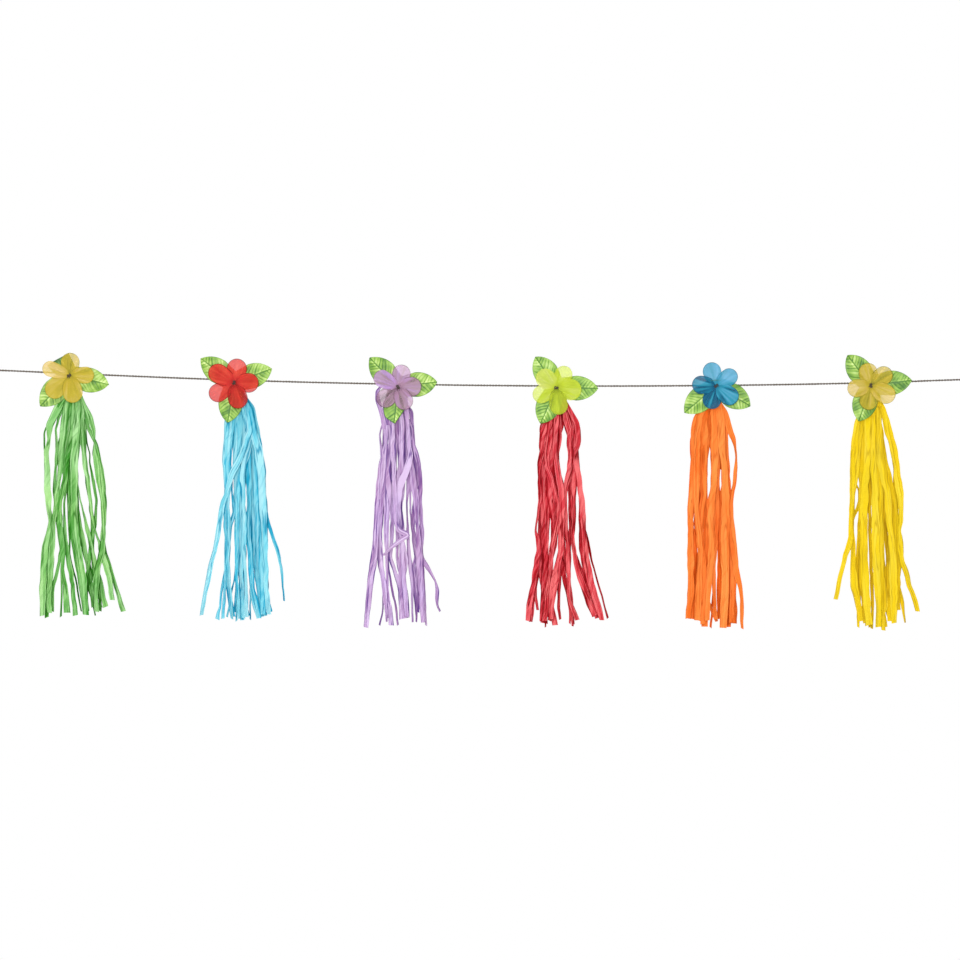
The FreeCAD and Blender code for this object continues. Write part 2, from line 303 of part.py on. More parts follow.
YELLOW = [
    [(38, 1.5, 5), (60, 2, 5), (90, 2, 5.5), (120, 3, 6), (150, 4, 7), (180, 4, 7), (210, 5, 7),
     (235, 6, 5.5), (268, 5.5, 5)],
    [(42, -4, 6), (60, -4, 6), (90, -5, 6), (120, -8, 6.5), (150, -9, 7), (180, -9, 7), (210, -8, 7),
     (235, -6, 6.5), (266, -4, 6.5)],
    [(30, 13, 6), (50, 18, 7), (70, 23, 7), (88, 26.5, 6), (105, 29, 6), (120, 31, 6.5), (140, 32, 5),
     (152, 32, 4), (162, 30, 3), (172, 31, 4), (185, 31, 5), (197, 33, 5), (207, 37, 5), (225, 42, 4.5),
     (240, 47, 4.5), (251, 49.5, 4)],
    [(30, 8, 6), (60, 8, 6), (85, 10, 7), (105, 13, 7), (120, 17, 7), (140, 18, 6), (155, 19, 5),
     (170, 22, 6), (190, 23, 6), (210, 23.5, 7), (235, 24, 7), (264, 25, 5)],
    [(45, -15, 5), (65, -18, 6), (90, -20, 6), (110, -21, 5), (130, -22, 3.5), (155, -22, 4),
     (170, -23, 4), (180, -26, 4.5), (198, -31, 3.8), (215, -35, 4), (238, -39.5, 4)],
    [(40, 4, 7), (80, 5, 8), (120, 7, 8), (160, 7, 8), (200, 8, 8), (240, 10, 6), (268, 9, 4)],
    [(44, -11, 6), (65, -14, 6), (85, -16, 5), (105, -17, 4), (125, -20, 3), (160, -21, 4),
     (180, -20, 4.5), (205, -20, 6), (225, -19, 6), (245, -15, 5), (262, -12, 4)],
    [(34, 5, 5), (60, 7, 5), (90, 8, 6), (120, 9, 7), (150, 9, 7), (180, 11, 6), (210, 11, 6),
     (230, 13, 7), (245, 14, 7), (255, 12, 3), (272, 13, 3.5)],
    [(40, -9, 6), (80, -10, 6), (120, -10.5, 6), (170, -10.5, 6), (220, -10, 6), (264, -6, 5)],
    [(60, 15, 3), (90, 23, 2), (110, 22, 4.5), (130, 25, 6), (150, 27, 6), (165, 27, 5), (180, 27, 6),
     (195, 31, 4), (215, 30, 4), (235, 30, 4), (250, 30, 4)],
    [(60, 11, 6), (100, 15, 6), (130, 21, 6), (160, 21.5, 5), (200, 22, 6), (240, 22, 7), (262, 22, 6)],
    [(60, 22, 4), (110, 31, 4), (145, 32.5, 3), (160, 31.5, 1.4), (168, 33.5, 1.4), (177, 35, 1.4),
     (190, 34, 3), (205, 31.5, 3), (222, 31, 3), (235, 34, 4), (248, 36, 3), (264, 38, 1.2)],
    [(60, -2, 4), (100, -2.5, 3), (150, -5, 3), (190, -4.5, 3), (225, -3.5, 3), (250, -2, 3),
     (269, -1, 2.5)],
    [(60, -12, 4), (95, -14.5, 3), (108, -18, 3), (117, -13, 1.8), (130, -12.5, 2), (137, -14, 3),
     (147, -18.5, 3), (160, -21, 3), (180, -20, 4), (200, -17, 3), (225, -14, 3), (250, -13, 3),
     (269, -13, 2)],
    [(50, -8, 5), (100, -9, 5), (140, -11, 4), (180, -13, 4), (200, -14, 3), (215, -13, 3), (235, -12, 3),
     (255, -12, 3)],
    [(60, 4, 5), (120, 6, 6), (180, 7, 6), (225, 9, 5), (245, 9, 3), (262, 11, 2)],
    [(60, 12, 4), (120, 16, 5), (170, 12, 3), (210, 16, 3), (235, 17, 5), (250, 15.5, 3),
     (269, 18.8, 1.6)],
    [(60, 20, 4), (90, 27, 3), (120, 28, 5), (150, 29, 4), (180, 29, 5), (210, 29, 4), (235, 27, 4),
     (248, 29, 4)],
    [(60, 10, 4), (140, 16, 4), (200, 20, 3), (238, 17, 5), (257, 19.5, 1.4)],
    [(100, 0, 4), (150, 0, 3), (200, 1.5, 3), (230, 3, 3), (250, 3, 2.5), (271, 2.8, 3)],
]
LAYS = [GREEN, BLUE, LILAC, RED, ORANGE, YELLOW]
head_shift = [1.0, 3.0, -3.0, 3.0, -4.0, 4.0]        # head's middle, right of the twine's loop
shoulder_open = [0.6, 0.75, 0.85, 0.72, 0.8, 0.58]   # how much of its spread a strip has at spring_drop
strip_breadth = [1.05, 1.08, 1.05, 1.12, 1.14, 1.12]  # how broad its strips show, of the widths above

# Flower centre from the twine's loop, then each petal's direction (degrees) and reach
FLOWERS = [
    (-2.2, -2.5, [(84, 24.8), (-4, 28.6), (-76, 30.8), (222, 29.7), (159, 29.7)]),
    (-1.7, -2.9, [(82, 26.0), (-2, 27.5), (-75, 29.7), (214, 28.6), (153, 29.7)]),
    (0.3, -3.1, [(80, 24.2), (0, 26.0), (-58, 25.3), (224, 28.6), (151, 29.3)]),
    (-1.7, -2.1, [(64, 25.3), (-8, 27.5), (-85, 29.7), (198, 27.0), (140, 26.4)]),
    (0.0, -0.6, [(102, 25.3), (46, 25.9), (-41, 26.4), (257, 26.1), (177, 27.1)]),
    (-0.7, -3.0, [(104, 24.9), (49, 25.3), (-39, 27.5), (262, 27.9), (191, 26.8)]),
]
# Leaf directions, how far each blade reaches, and where it is folded under: the direction and the
# distance from the hub of each fold
LEAVES = [
    [(-13, 45.0, []), (227, 46.3, []), (125, 44.0, [(119, 21.6)])],
    [(144, 45.0, []), (20, 44.5, []), (261, 44.5, [])],
    [(134, 44.5, []), (7, 43.5, []), (264, 45.0, [(325, 20.4), (236, 35.5)])],
    [(124, 41.0, []), (-1, 46.0, []), (246, 43.0, [])],
    [(220, 46.0, []), (-31, 43.5, []), (94, 42.0, [(94, 6.0)])],
    [(128, 42.0, []), (7, 45.0, []), (251, 41.5, [])],
]


def loop_route(centre_x, centre_z, side):
    """The tied loop's strand, from its tail in the knot round the eye and back; side +1 opens left."""
    knot_mid = knot_start + knot_len / 2
    throat = knot_start * throat_share
    eye_r = eye_d / 2 + twine_d / 2
    shape = [
        (knot_mid, tail_rise),
        (throat, throat_rise),
        (eye_r * 1.2, eye_r * 1.1),
        (-eye_r * 0.95, eye_r * 1.24),
        (-eye_r * 1.75, 0.0),
        (-eye_r * 0.95, -eye_r * 1.24),
        (eye_r * 1.2, -eye_r * 1.1),
        (throat, -throat_rise),
        (knot_mid, -tail_rise),
    ]
    return [Vector(centre_x + side * x, 0, centre_z + z) for x, z in shape]


def twine_route():
    """Left loop, a turn over each tassel, then the right loop taken the other way round."""
    left = loop_route(0.0, 0.0, 1)
    right = loop_route(loop_span, loop_rise, -1)
    middle = [Vector(x, 0, z) for x, z in zip(unit_x, unit_z)]
    return left + middle + right[::-1]


def route_wire(points):
    """Straight runs joined by tangent arcs, each as large as its two runs allow."""
    edges = []
    radii = []
    start = points[0]
    for before, corner, after in zip(points, points[1:], points[2:]):
        into = corner - before
        out = after - corner
        reach = 0.45 * min(into.Length, out.Length)
        half = into.getAngle(out) / 2
        radius = reach / math.tan(half)
        into.normalize()
        out.normalize()
        first = corner - into * reach
        last = corner + out * reach
        inward = (out - into).normalize()
        middle = corner + inward * (radius / math.cos(half) - radius)
        edges.append(Part.LineSegment(start, first).toShape())
        edges.append(Part.Arc(first, middle, last).toShape())
        radii.append(radius)
        start = last
    edges.append(Part.LineSegment(start, points[-1]).toShape())
    print("twine arc radii, mm:", " ".join("%.1f" % r for r in radii))
    return Part.Wire(edges)


def section_ring(middle, upright, sides, diameter):
    """Closed ring of corners, standing square to a strand that lies in the XZ plane."""
    step = 2 * math.pi / sides
    corner_r = diameter / 2 * math.sqrt(math.pi / (sides / 2 * math.sin(step)))
    turns = [(i + 0.5) * step for i in range(sides + 1)]
    return [middle + (upright * math.cos(t) + Vector(0, 1, 0) * math.sin(t)) * corner_r for t in turns]


def tube(wire, points, diameter):
    """Many-sided section of a round twine's area, carried along the wire."""
    upright = (points[1] - points[0]).normalize().cross(Vector(0, 1, 0))
    ring = section_ring(points[0], upright, twine_sides, diameter)
    return wire.makePipeShell([Part.makePolygon(ring)], True, True)


def arc_middle(before, corner, after):
    """Where the twine passes inside a corner of its route."""
    into = corner - before
    out = after - corner
    reach = 0.45 * min(into.Length, out.Length)
    half = into.getAngle(out) / 2
    inward = (out.normalize() - into.normalize()).normalize()
    return corner + inward * (reach * math.tan(half / 2))


def turn_heading(before, corner, after):
    """Direction of the twine half way round a corner."""
    return ((corner - before).normalize() + (after - corner).normalize()).normalize()


def rod(sides, start, end, diameter):
    """Straight many-sided rod of a round one's section area."""
    along = (end - start).normalize()
    upright = along.cross(Vector(0, 1, 0))
    ring = section_ring(start, upright, sides, diameter)
    return Part.Face(Part.makePolygon(ring)).extrude(end - start)


def end_knot(centre_x, centre_z, side, tail, mouth, run_on):
    """Three wraps of the twine round its own two strands; the tail's hole is blind."""
    wrap = knot_len / 3
    wraps = []
    for turn, swell in enumerate((0.94, 1.06, 0.94)):
        near = Vector(centre_x + side * (knot_start + turn * wrap), 0, centre_z)
        wraps.append(rod(knot_sides, near, near + Vector(side * wrap, 0, 0), knot_d * swell))
    knot = wraps[0].multiFuse(wraps[1:])
    hole_d = twine_d + 2 * knot_slack
    blind = rod(twine_sides, tail, mouth, hole_d)
    under = Vector(tail.x, 0, 2 * centre_z - tail.z)
    low_mouth = Vector(mouth.x, 0, 2 * centre_z - mouth.z)
    middle = arc_middle(low_mouth, under, run_on)
    along = turn_heading(low_mouth, under, run_on) * knot_len
    return knot.cut(blind).cut(rod(twine_sides, middle - along, middle + along, hole_d))


def prism(points, direction):
    """Flat outline pushed along a direction."""
    return Part.Face(Part.makePolygon(points + points[:1])).extrude(direction)


def head_half_depth(drop):
    """Half thickness of the folded bundle, below the twine."""
    crown = twine_d / 2 + twine_gap + bundle_wall
    if drop < waist_drop:
        return crown + (waist_half_depth - crown) * drop / waist_drop
    share = (drop - waist_drop) / (skirt_drop - waist_drop)
    return waist_half_depth + (skirt_half_depth - waist_half_depth) * share


def tassel_head(shift):
    """Paper bundle folded over the twine, drawn in at its waist, at the twine's loop."""
    crown = head_half_depth(0)
    drops = [0, waist_drop, skirt_drop]
    front = [Vector(0, -head_half_depth(drop), -drop) for drop in drops]
    back = [Vector(0, head_half_depth(drop), -drop) for drop in reversed(drops)]
    top = Part.Arc(Vector(0, crown, 0), Vector(0, 0, crown), Vector(0, -crown, 0)).toShape()
    side = Part.Wire(Part.makePolygon(front + back).Edges + [top])
    length = 4 * skirt_half_width
    fold = Part.Face(side).extrude(Vector(length, 0, 0))
    fold.translate(Vector(-length / 2, 0, 0))
    depth = 4 * skirt_half_depth
    rows = [(crown, head_half_width), (0, head_half_width), (-waist_drop, waist_half_width),
            (-skirt_drop, skirt_half_width)]
    right = [Vector(w, -depth / 2, z) for z, w in rows]
    left = [Vector(-w, -depth / 2, z) for z, w in reversed(rows)]
    head = fold.common(prism(right + left, Vector(0, depth, 0)))
    slab_foot = Vector(-length / 2, -depth / 2, -waist_drop - binding_height / 2)
    slab = Part.makeBox(length, depth, binding_height, slab_foot)
    core = rounded_band(waist_half_width - thread_bite, waist_half_depth - thread_bite)
    head = head.cut(slab.cut(core))
    head.translate(Vector(shift * 0.5, 0, 0))
    return head


def strip_stations(row, shift, opening, breadth):
    """(across, down, half width) from the head to the cut end of one strip."""
    middle = shift * 0.5
    stations = [(x, drop, width * breadth / 2) for drop, x, width in row]
    x, drop, half_width = stations[0]
    if drop > spring_below:
        x = middle + (x - middle) * opening
        stations.insert(0, (x, spring_drop, (root_width / 2 + half_width) / 2))
    root_x = middle + (x - middle) * root_share / opening
    return bends([(root_x, skirt_drop - root_sink, root_width / 2)] + stations)


def bends(stations):
    """The places where a strip bends: it runs straight past the ones that stray little."""
    if len(stations) < 3:
        return stations
    (x0, drop0, width0), (x1, drop1, width1) = stations[0], stations[-1]
    strays = []
    for x, drop, width in stations[1:-1]:
        share = (drop - drop0) / (drop1 - drop0)
        strays.append(abs(x - x0 - (x1 - x0) * share) + abs(width - width0 - (width1 - width0) * share))
    if max(strays) < straight_slack:
        return [stations[0], stations[-1]]
    turn = strays.index(max(strays)) + 1
    return bends(stations[:turn + 1])[:-1] + bends(stations[turn:])


def strip(row, place, count, shift, opening, breadth):
    """One flat strip, hinged at the head so that the strips fan out in depth."""
    stations = strip_stations(row, shift, opening, breadth)
    slant = end_slant * (place % 3 - 1) / 2
    right = [Vector(x + w, 0, -drop) for x, drop, w in stations]
    left = [Vector(x - w, 0, -drop) for x, drop, w in reversed(stations)]
    right[-1].z -= slant
    left[0].z += slant
    flat = prism(right + left, Vector(0, paper, 0))
    order = place - (count - 1) / 2
    swing = math.atan(order * (hem_pitch - root_pitch) / (hem_drop - skirt_drop))
    flat.rotate(Vector(0, 0, -skirt_drop), Vector(1, 0, 0), math.degrees(swing))
    flat.translate(Vector(0, order * root_pitch - paper / 2, 0))
    return flat


def tassel(rows, shift, opening, breadth):
    """The whole paper tassel is one bundle, so its strips and head are one solid."""
    strips = [strip(row, i, len(rows), shift, opening, breadth) for i, row in enumerate(rows)]
    return tassel_head(shift).multiFuse(strips)


def rounded_band(half_x, half_y):
    """Upright block with rounded ends, as high as the binding, as a thread pulls round a flat bundle."""
    bottom = -waist_drop - binding_height / 2
    shoulder = half_y * 0.6
    right = [(half_x - shoulder, -half_y), (half_x - shoulder * 0.3, -half_y * 0.7), (half_x, 0),
             (half_x - shoulder * 0.3, half_y * 0.7), (half_x - shoulder, half_y)]
    ring = right + [(-x, -y) for x, y in right]
    return prism([Vector(x, y, bottom) for x, y in ring], Vector(0, 0, binding_height))


def binding(shift):
    """Thread wound round the waist of the head, a band that follows its section."""
    inner_x = waist_half_width - thread_bite + seat_gap
    inner_y = waist_half_depth - thread_bite + seat_gap
    outer = rounded_band(inner_x + binding_wall, inner_y + binding_wall)
    ring = outer.cut(rounded_band(inner_x, inner_y))
    ring.translate(Vector(shift * 0.5, 0, 0))
    return ring


def leaf_outline(reach):
    """Ovate blade lying along +X in the XZ plane: two curved edges meet at the point."""
    belly = leaf_belly * reach
    arc_r = ((reach - belly) ** 2 + leaf_half_width ** 2) / (2 * leaf_half_width)
    sweep = math.asin((reach - belly) / arc_r)
    upper = [(0, leaf_root_half_width)]
    for step in range(leaf_facets + 1):
        angle = sweep * step / leaf_facets
        upper.append((belly + arc_r * math.sin(angle), arc_r * (math.cos(angle) - 1) + leaf_half_width))
    lower = [(x, -z) for x, z in reversed(upper) if z > 0.01]
    depth = leaf_half_width
    return prism([Vector(x, -depth / 2, z) for x, z in upper + lower], Vector(0, depth, 0))


def folded_off(direction, distance):
    """What lies beyond a straight fold, which is tucked away behind the blade."""
    side = 4 * leaf_half_width
    block = Part.makeBox(side, side, 2 * side, Vector(distance, -side / 2, -side))
    block.rotate(Vector(0, 0, 0), Vector(0, 1, 0), -direction)
    return block


def leaf(direction, reach, folds):
    """A blade creased along its midrib, lifted forward and turned to its direction."""
    rise = leaf_half_width * math.tan(math.radians(leaf_fold))
    chevron = [
        Vector(0, rise, leaf_half_width), Vector(0, 0, 0), Vector(0, rise, -leaf_half_width),
        Vector(0, rise + leaf_cloth, -leaf_half_width), Vector(0, leaf_cloth, 0),
        Vector(0, rise + leaf_cloth, leaf_half_width),
    ]
    blade = prism(chevron, Vector(reach, 0, 0)).common(leaf_outline(reach))
    blade.rotate(Vector(0, 0, 0), Vector(0, 0, 1), -leaf_lift)
    blade.rotate(Vector(0, 0, 0), Vector(0, 1, 0), -direction)
    for fold in folds:
        blade = blade.cut(folded_off(*fold))
    return blade


def round_prism(sides, radius, length):
    """Many-sided disc or rod along +Y from the XZ plane."""
    turns = [2 * math.pi * (i + 0.5) / sides for i in range(sides)]
    corners = [Vector(radius * math.cos(t), 0, radius * math.sin(t)) for t in turns]
    return prism(corners, Vector(0, length, 0))


def leaf_spray(blades):
    """Three blades joined at a hub with the tie's hole, the hub's back face at Y = leaf_hub_cloth."""
    hub = round_prism(hub_facets, hub_radius, leaf_hub_cloth)
    return hub.multiFuse([leaf(*blade) for blade in blades]).cut(tie_hole())


def tie_hole():
    """Hole that the tie's thread passes through."""
    hole = round_prism(tie_hole_sides, tie_hole_d / 2, 40)
    hole.translate(Vector(0, -20, 0))
    return hole


def petal(direction, reach):
    """Egg-shaped petal: half a circle at its end, half an ellipse back to the middle of the flower."""
    centre = reach - petal_radius
    outline = []
    for step in range(petal_facets):
        angle = 2 * math.pi * (step + 0.5) / petal_facets
        along = petal_radius if math.cos(angle) > 0 else centre
        outline.append(Vector(centre + along * math.cos(angle), 0, petal_radius * math.sin(angle)))
    shape = prism(outline, Vector(0, flower_cloth, 0))
    shape.rotate(Vector(0, 0, 0), Vector(0, 0, 1), -petal_lift)
    shape.rotate(Vector(0, 0, 0), Vector(0, 1, 0), -direction)
    return shape


def flower(petals):
    """Five petals on a small hub with the tie's hole, its back face at Y = flower_cloth."""
    hub = round_prism(hub_facets, flower_hub_radius, flower_cloth)
    return hub.multiFuse([petal(*p) for p in petals]).cut(tie_hole())


def centre_knot(back, front):
    """Thread stem through flower and leaves, with a crossed knot in front of the flower."""
    stem = round_prism(thread_sides, thread_d / 2, back - front)
    stem.translate(Vector(0, front, 0))
    turns = []
    for angle in knot_lays:
        turn = round_prism(thread_sides, thread_d / 2, knot_reach)
        turn.translate(Vector(0, -knot_reach / 2, 0))
        turn.rotate(Vector(0, 0, 0), Vector(0, 0, 1), -90)
        turn.rotate(Vector(0, 0, 0), Vector(0, 1, 0), -angle)
        turn.translate(Vector(0, front, 0))
        turns.append(turn)
    return stem.multiFuse(turns)


def save(shape, name):
    """One STEP file per sub-part, cleaned of split faces."""
    clean = shape.removeSplitter()
    kinds = "%d solid(s), valid %s" % (len(clean.Solids), clean.isValid())
    print("%-22s %s, %.1f mm3" % (name, kinds, clean.Volume))
    clean.exportStep("parts/%s.step" % name)


points = twine_route()
wire = route_wire(points)
twine = tube(wire, points, twine_d)
print("twine: length %.1f mm, volume over section x length %.4f"
      % (wire.Length, twine.Volume / (math.pi * twine_d ** 2 / 4 * wire.Length)))
save(twine, "twine")
save(end_knot(0.0, 0.0, 1, points[0], points[1], points[9]), "left_loop_knot")
save(end_knot(loop_span, loop_rise, -1, points[-1], points[-2], points[-10]), "right_loop_knot")

# Stack in front of each head: binding, leaf spray, flower, knot
binding_front = -(waist_half_depth - thread_bite + seat_gap + binding_wall)
fold_back = leaf_half_width * math.tan(math.radians(leaf_fold))
leaf_place = binding_front - seat_gap - leaf_cloth - fold_back
flower_back = leaf_place - layer_gap - flower_hub_radius * math.tan(math.radians(leaf_lift))
flower_place = flower_back - flower_cloth
knot_lift = knot_reach / 2 * math.tan(math.radians(petal_lift))
knot_place = flower_place - layer_gap - thread_d / 2 - knot_lift
bindings = []
knots = []
for i, name in enumerate(unit_names):
    before, corner, after = points[8 + i:11 + i]
    hang = arc_middle(before, corner, after)
    along = turn_heading(before, corner, after) * (2 * head_half_width)
    paper_tassel = tassel(LAYS[i], head_shift[i], shoulder_open[i], strip_breadth[i])
    paper_tassel.translate(hang)
    channel = rod(twine_sides, hang - along, hang + along, twine_d + 2 * twine_gap)
    save(paper_tassel.cut(channel), "tassel_" + name)

    band = binding(head_shift[i])
    band.translate(hang)
    bindings.append(band)

    across, up, petals = FLOWERS[i]
    spray = leaf_spray(LEAVES[i])
    spray.translate(hang + Vector(across, leaf_place, up))
    save(spray, "leaves_" + name)

    bloom = flower(petals)
    bloom.translate(hang + Vector(across, flower_place, up))
    save(bloom, "flower_" + name)

    knot = centre_knot(-head_half_depth(thread_d / 2 - up) - seat_gap, knot_place)
    knot.translate(hang + Vector(across, 0, up))
    knots.append(knot)
save(Part.makeCompound(bindings), "neck_bindings")
save(Part.makeCompound(knots), "centre_knots")
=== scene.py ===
"""Paper tassel garland: six tassels of cut paper looped over a taut hemp twine, each with an organza
flower and a satin leaf spray tied at its head. Metres, in the frame of the CAD part."""
import bpy
import bmesh
import math
import numpy as np
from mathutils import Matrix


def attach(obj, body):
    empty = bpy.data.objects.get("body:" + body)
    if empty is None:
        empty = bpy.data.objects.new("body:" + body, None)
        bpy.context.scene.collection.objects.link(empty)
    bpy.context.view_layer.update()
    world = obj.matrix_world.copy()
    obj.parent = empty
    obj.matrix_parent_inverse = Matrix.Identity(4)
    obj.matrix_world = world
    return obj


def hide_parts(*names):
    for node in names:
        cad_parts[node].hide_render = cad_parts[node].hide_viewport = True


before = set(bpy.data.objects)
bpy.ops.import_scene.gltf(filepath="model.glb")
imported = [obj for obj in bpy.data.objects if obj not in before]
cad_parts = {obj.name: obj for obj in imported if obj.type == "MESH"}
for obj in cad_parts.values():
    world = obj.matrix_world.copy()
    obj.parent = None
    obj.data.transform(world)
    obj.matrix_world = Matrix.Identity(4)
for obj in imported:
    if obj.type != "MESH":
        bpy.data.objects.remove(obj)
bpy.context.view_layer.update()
mm = 0.001

# --- Camera ---------------------------------------------------------------------------------------
# A long lens square to the garland, level with the middle of the tassels, wide enough for six of them.
view_width = 1056 * mm
view_middle = (562 * mm, -122.6 * mm)
lens_mm = 150.0
camera_data = bpy.data.cameras.new("camera")
camera_data.lens = lens_mm
camera_data.sensor_width = 36.0
camera_distance = view_width * lens_mm / camera_data.sensor_width
camera_data.clip_end = 50
camera = bpy.data.objects.new("camera", camera_data)
camera.location = (view_middle[0], -camera_distance, view_middle[1])
camera.rotation_euler = (math.pi / 2, 0, 0)
bpy.context.collection.objects.link(camera)
bpy.context.scene.camera = camera
bpy.context.scene.view_settings.view_transform = "Standard"

# --- Light, floor and backdrop --------------------------------------------------------------------
# A white studio cove: even light from all round, a soft lamp just above the lens that reaches in between
# the strips, a weak one high on the left and one behind, over a plain pale floor.
surround_strength = 0.42
key_watts = 142.0
side_watts = 12.0
back_watts = 34.0
key_size = 0.9
side_size = 1.6
floor_height = -0.75

world = bpy.data.worlds.new("cove")
world.use_nodes = True
bpy.context.scene.world = world
nodes = world.node_tree.nodes
links = world.node_tree.links
nodes.clear()
seen_white = nodes.new("ShaderNodeBackground")
seen_white.inputs["Color"].default_value = (1, 1, 1, 1)
seen_white.inputs["Strength"].default_value = 1.0
soft_light = nodes.new("ShaderNodeBackground")
soft_light.inputs["Color"].default_value = (1, 1, 1, 1)
soft_light.inputs["Strength"].default_value = surround_strength


def straight_ray(nodes, links):
    """1 for a ray that comes from the lens, a mirror or glass: the largest of Light Path's three flags."""
    path = nodes.new("ShaderNodeLightPath")
    first = nodes.new("ShaderNodeMath")
    first.operation = "MAXIMUM"
    links.new(path.outputs["Is Camera Ray"], first.inputs[0])
    links.new(path.outputs["Is Glossy Ray"], first.inputs[1])
    second = nodes.new("ShaderNodeMath")
    second.operation = "MAXIMUM"
    links.new(first.outputs[0], second.inputs[0])
    links.new(path.outputs["Is Transmission Ray"], second.inputs[1])
    return second.outputs[0]


blend = nodes.new("ShaderNodeMixShader")
links.new(straight_ray(nodes, links), blend.inputs[0])
links.new(soft_light.outputs[0], blend.inputs[1])
links.new(seen_white.outputs[0], blend.inputs[2])
out = nodes.new("ShaderNodeOutputWorld")
links.new(blend.outputs[0], out.inputs[0])


def lamp(name, place, watts, size):
    """Square soft lamp turned to the middle of the garland."""
    data = bpy.data.lights.new(name, "AREA")
    data.energy = watts
    data.size = size
    light = bpy.data.objects.new(name, data)
    light.location = place
    aim = np.array([view_middle[0], 0, view_middle[1]]) - np.array(place)
    light.rotation_euler = (math.acos(-aim[2] / np.linalg.norm(aim)), 0, math.atan2(-aim[0], aim[1]))
    bpy.context.collection.objects.link(light)


lamp("key_lamp", (view_middle[0] - 0.15, -camera_distance - 0.3, view_middle[1] + 0.35), key_watts, key_size)
lamp("side_lamp", (-0.5, -2.2, 1.3), side_watts, side_size)
lamp("back_lamp", (1.0, 2.8, 0.9), back_watts, side_size)

floor_mesh = bpy.data.meshes.new("floor")
reach = 6.0
floor_mesh.from_pydata([(-reach, -reach, floor_height), (reach, -reach, floor_height),
                        (reach, reach, floor_height), (-reach, reach, floor_height)], [], [(0, 1, 2, 3)])
floor = bpy.data.objects.new("floor", floor_mesh)
bpy.context.collection.objects.link(floor)
pale = bpy.data.materials.new("pale_floor")
pale.use_nodes = True
nodes = pale.node_tree.nodes
links = pale.node_tree.links
nodes.clear()
matt = nodes.new("ShaderNodeBsdfDiffuse")
matt.inputs["Color"].default_value = (0.9, 0.9, 0.9, 1)
white = nodes.new("ShaderNodeEmission")
white.inputs["Strength"].default_value = 1.0
blend = nodes.new("ShaderNodeMixShader")
links.new(straight_ray(nodes, links), blend.inputs[0])
links.new(matt.outputs[0], blend.inputs[1])
links.new(white.outputs[0], blend.inputs[2])
out = nodes.new("ShaderNodeOutputMaterial")
links.new(blend.outputs[0], out.inputs[0])
floor_mesh.materials.append(pale)

# --- Twine ----------------------------------------------------------------------------------------
# Two plies of grey-brown hemp, pulled taut between its hanging loops. Each end is bent into a loop and
# tied back on itself; the tassels are folded over it.
twine_d = 1.8
loop_span = 1124.0
loop_rise = -10.3
tail = (23.0, 1.3)
loop_shape = [tail, (14.06, 2.6), (7.08, 6.49), (-5.6, 7.32), (-10.33, 0.0),
              (-5.6, -7.32), (7.08, -6.49), (14.06, -2.6), (23.0, -1.3)]
unit_x = [113.0, 293.5, 471.5, 647.5, 821.5, 992.0]
unit_z = [-5.6, -13.1, -17.5, -19.5, -18.9, -16.0]
unit_names = ["green", "blue", "lilac", "red", "orange", "yellow"]
left_loop = [(x, 0, z) for x, z in loop_shape]
right_loop = [(loop_span - x, 0, loop_rise + z) for x, z in reversed(loop_shape)]
route = left_loop + [(x, 0, z) for x, z in zip(unit_x, unit_z)] + right_loop
route = np.array(route) * mm

line = bpy.data.curves.new("twine_line", "CURVE")
line.dimensions = "3D"
line.resolution_u = 40
spline = line.splines.new("NURBS")
spline.points.add(len(route) - 1)
spline.points.foreach_set("co", np.c_[route, np.ones(len(route))].ravel())
spline.order_u = 3
spline.use_endpoint_u = True
line_object = bpy.data.objects.new("twine_line", line)
bpy.context.collection.objects.link(line_object)
bpy.context.view_layer.update()
line_mesh = bpy.data.meshes.new_from_object(line_object)
twine_path = np.array([v.co for v in line_mesh.vertices])
bpy.data.objects.remove(line_object)
bpy.data.meshes.remove(line_mesh)


def length_along(path):
    """Running length of a path of points: the sum of the steps so far."""
    return np.r_[0, np.cumsum(np.linalg.norm(np.diff(path, axis=0), axis=1))]


def resample(path, count):
    """The same path with evenly spaced points, each between its neighbours in proportion to length."""
    run = length_along(path)
    even = np.linspace(0, run[-1], count)
    return np.stack([np.interp(even, run, path[:, k]) for k in range(3)], axis=1)


def tube_rings(path, radius, sides, side_hint, swell=None):
    """Rings round a path: path + r (cos a · side + sin a · other), side and other square to the path."""
    along = np.gradient(path, axis=0)
    along /= np.linalg.norm(along, axis=1, keepdims=True)
    side = side_hint - (side_hint * along).sum(axis=1, keepdims=True) * along
    side /= np.linalg.norm(side, axis=1, keepdims=True)
    other = np.cross(along, side)
    angle = np.linspace(0, 2 * np.pi, sides, endpoint=False)
    r = radius * (np.ones(len(path)) if swell is None else swell)
    ring = np.cos(angle)[None, :, None] * side[:, None] + np.sin(angle)[None, :, None] * other[:, None]
    return path[:, None] + ring * r[:, None, None]


def ring_quads(rings, around, first):
    """Corner numbers of the quads between neighbouring rings, closed round each ring."""
    m, k = np.meshgrid(np.arange(rings - 1), np.arange(around), indexing="ij")
    k2 = (k + 1) % around
    quads = np.stack([m * around + k, m * around + k2, (m + 1) * around + k2, (m + 1) * around + k], axis=-1)
    return quads.reshape(-1, 4) + first


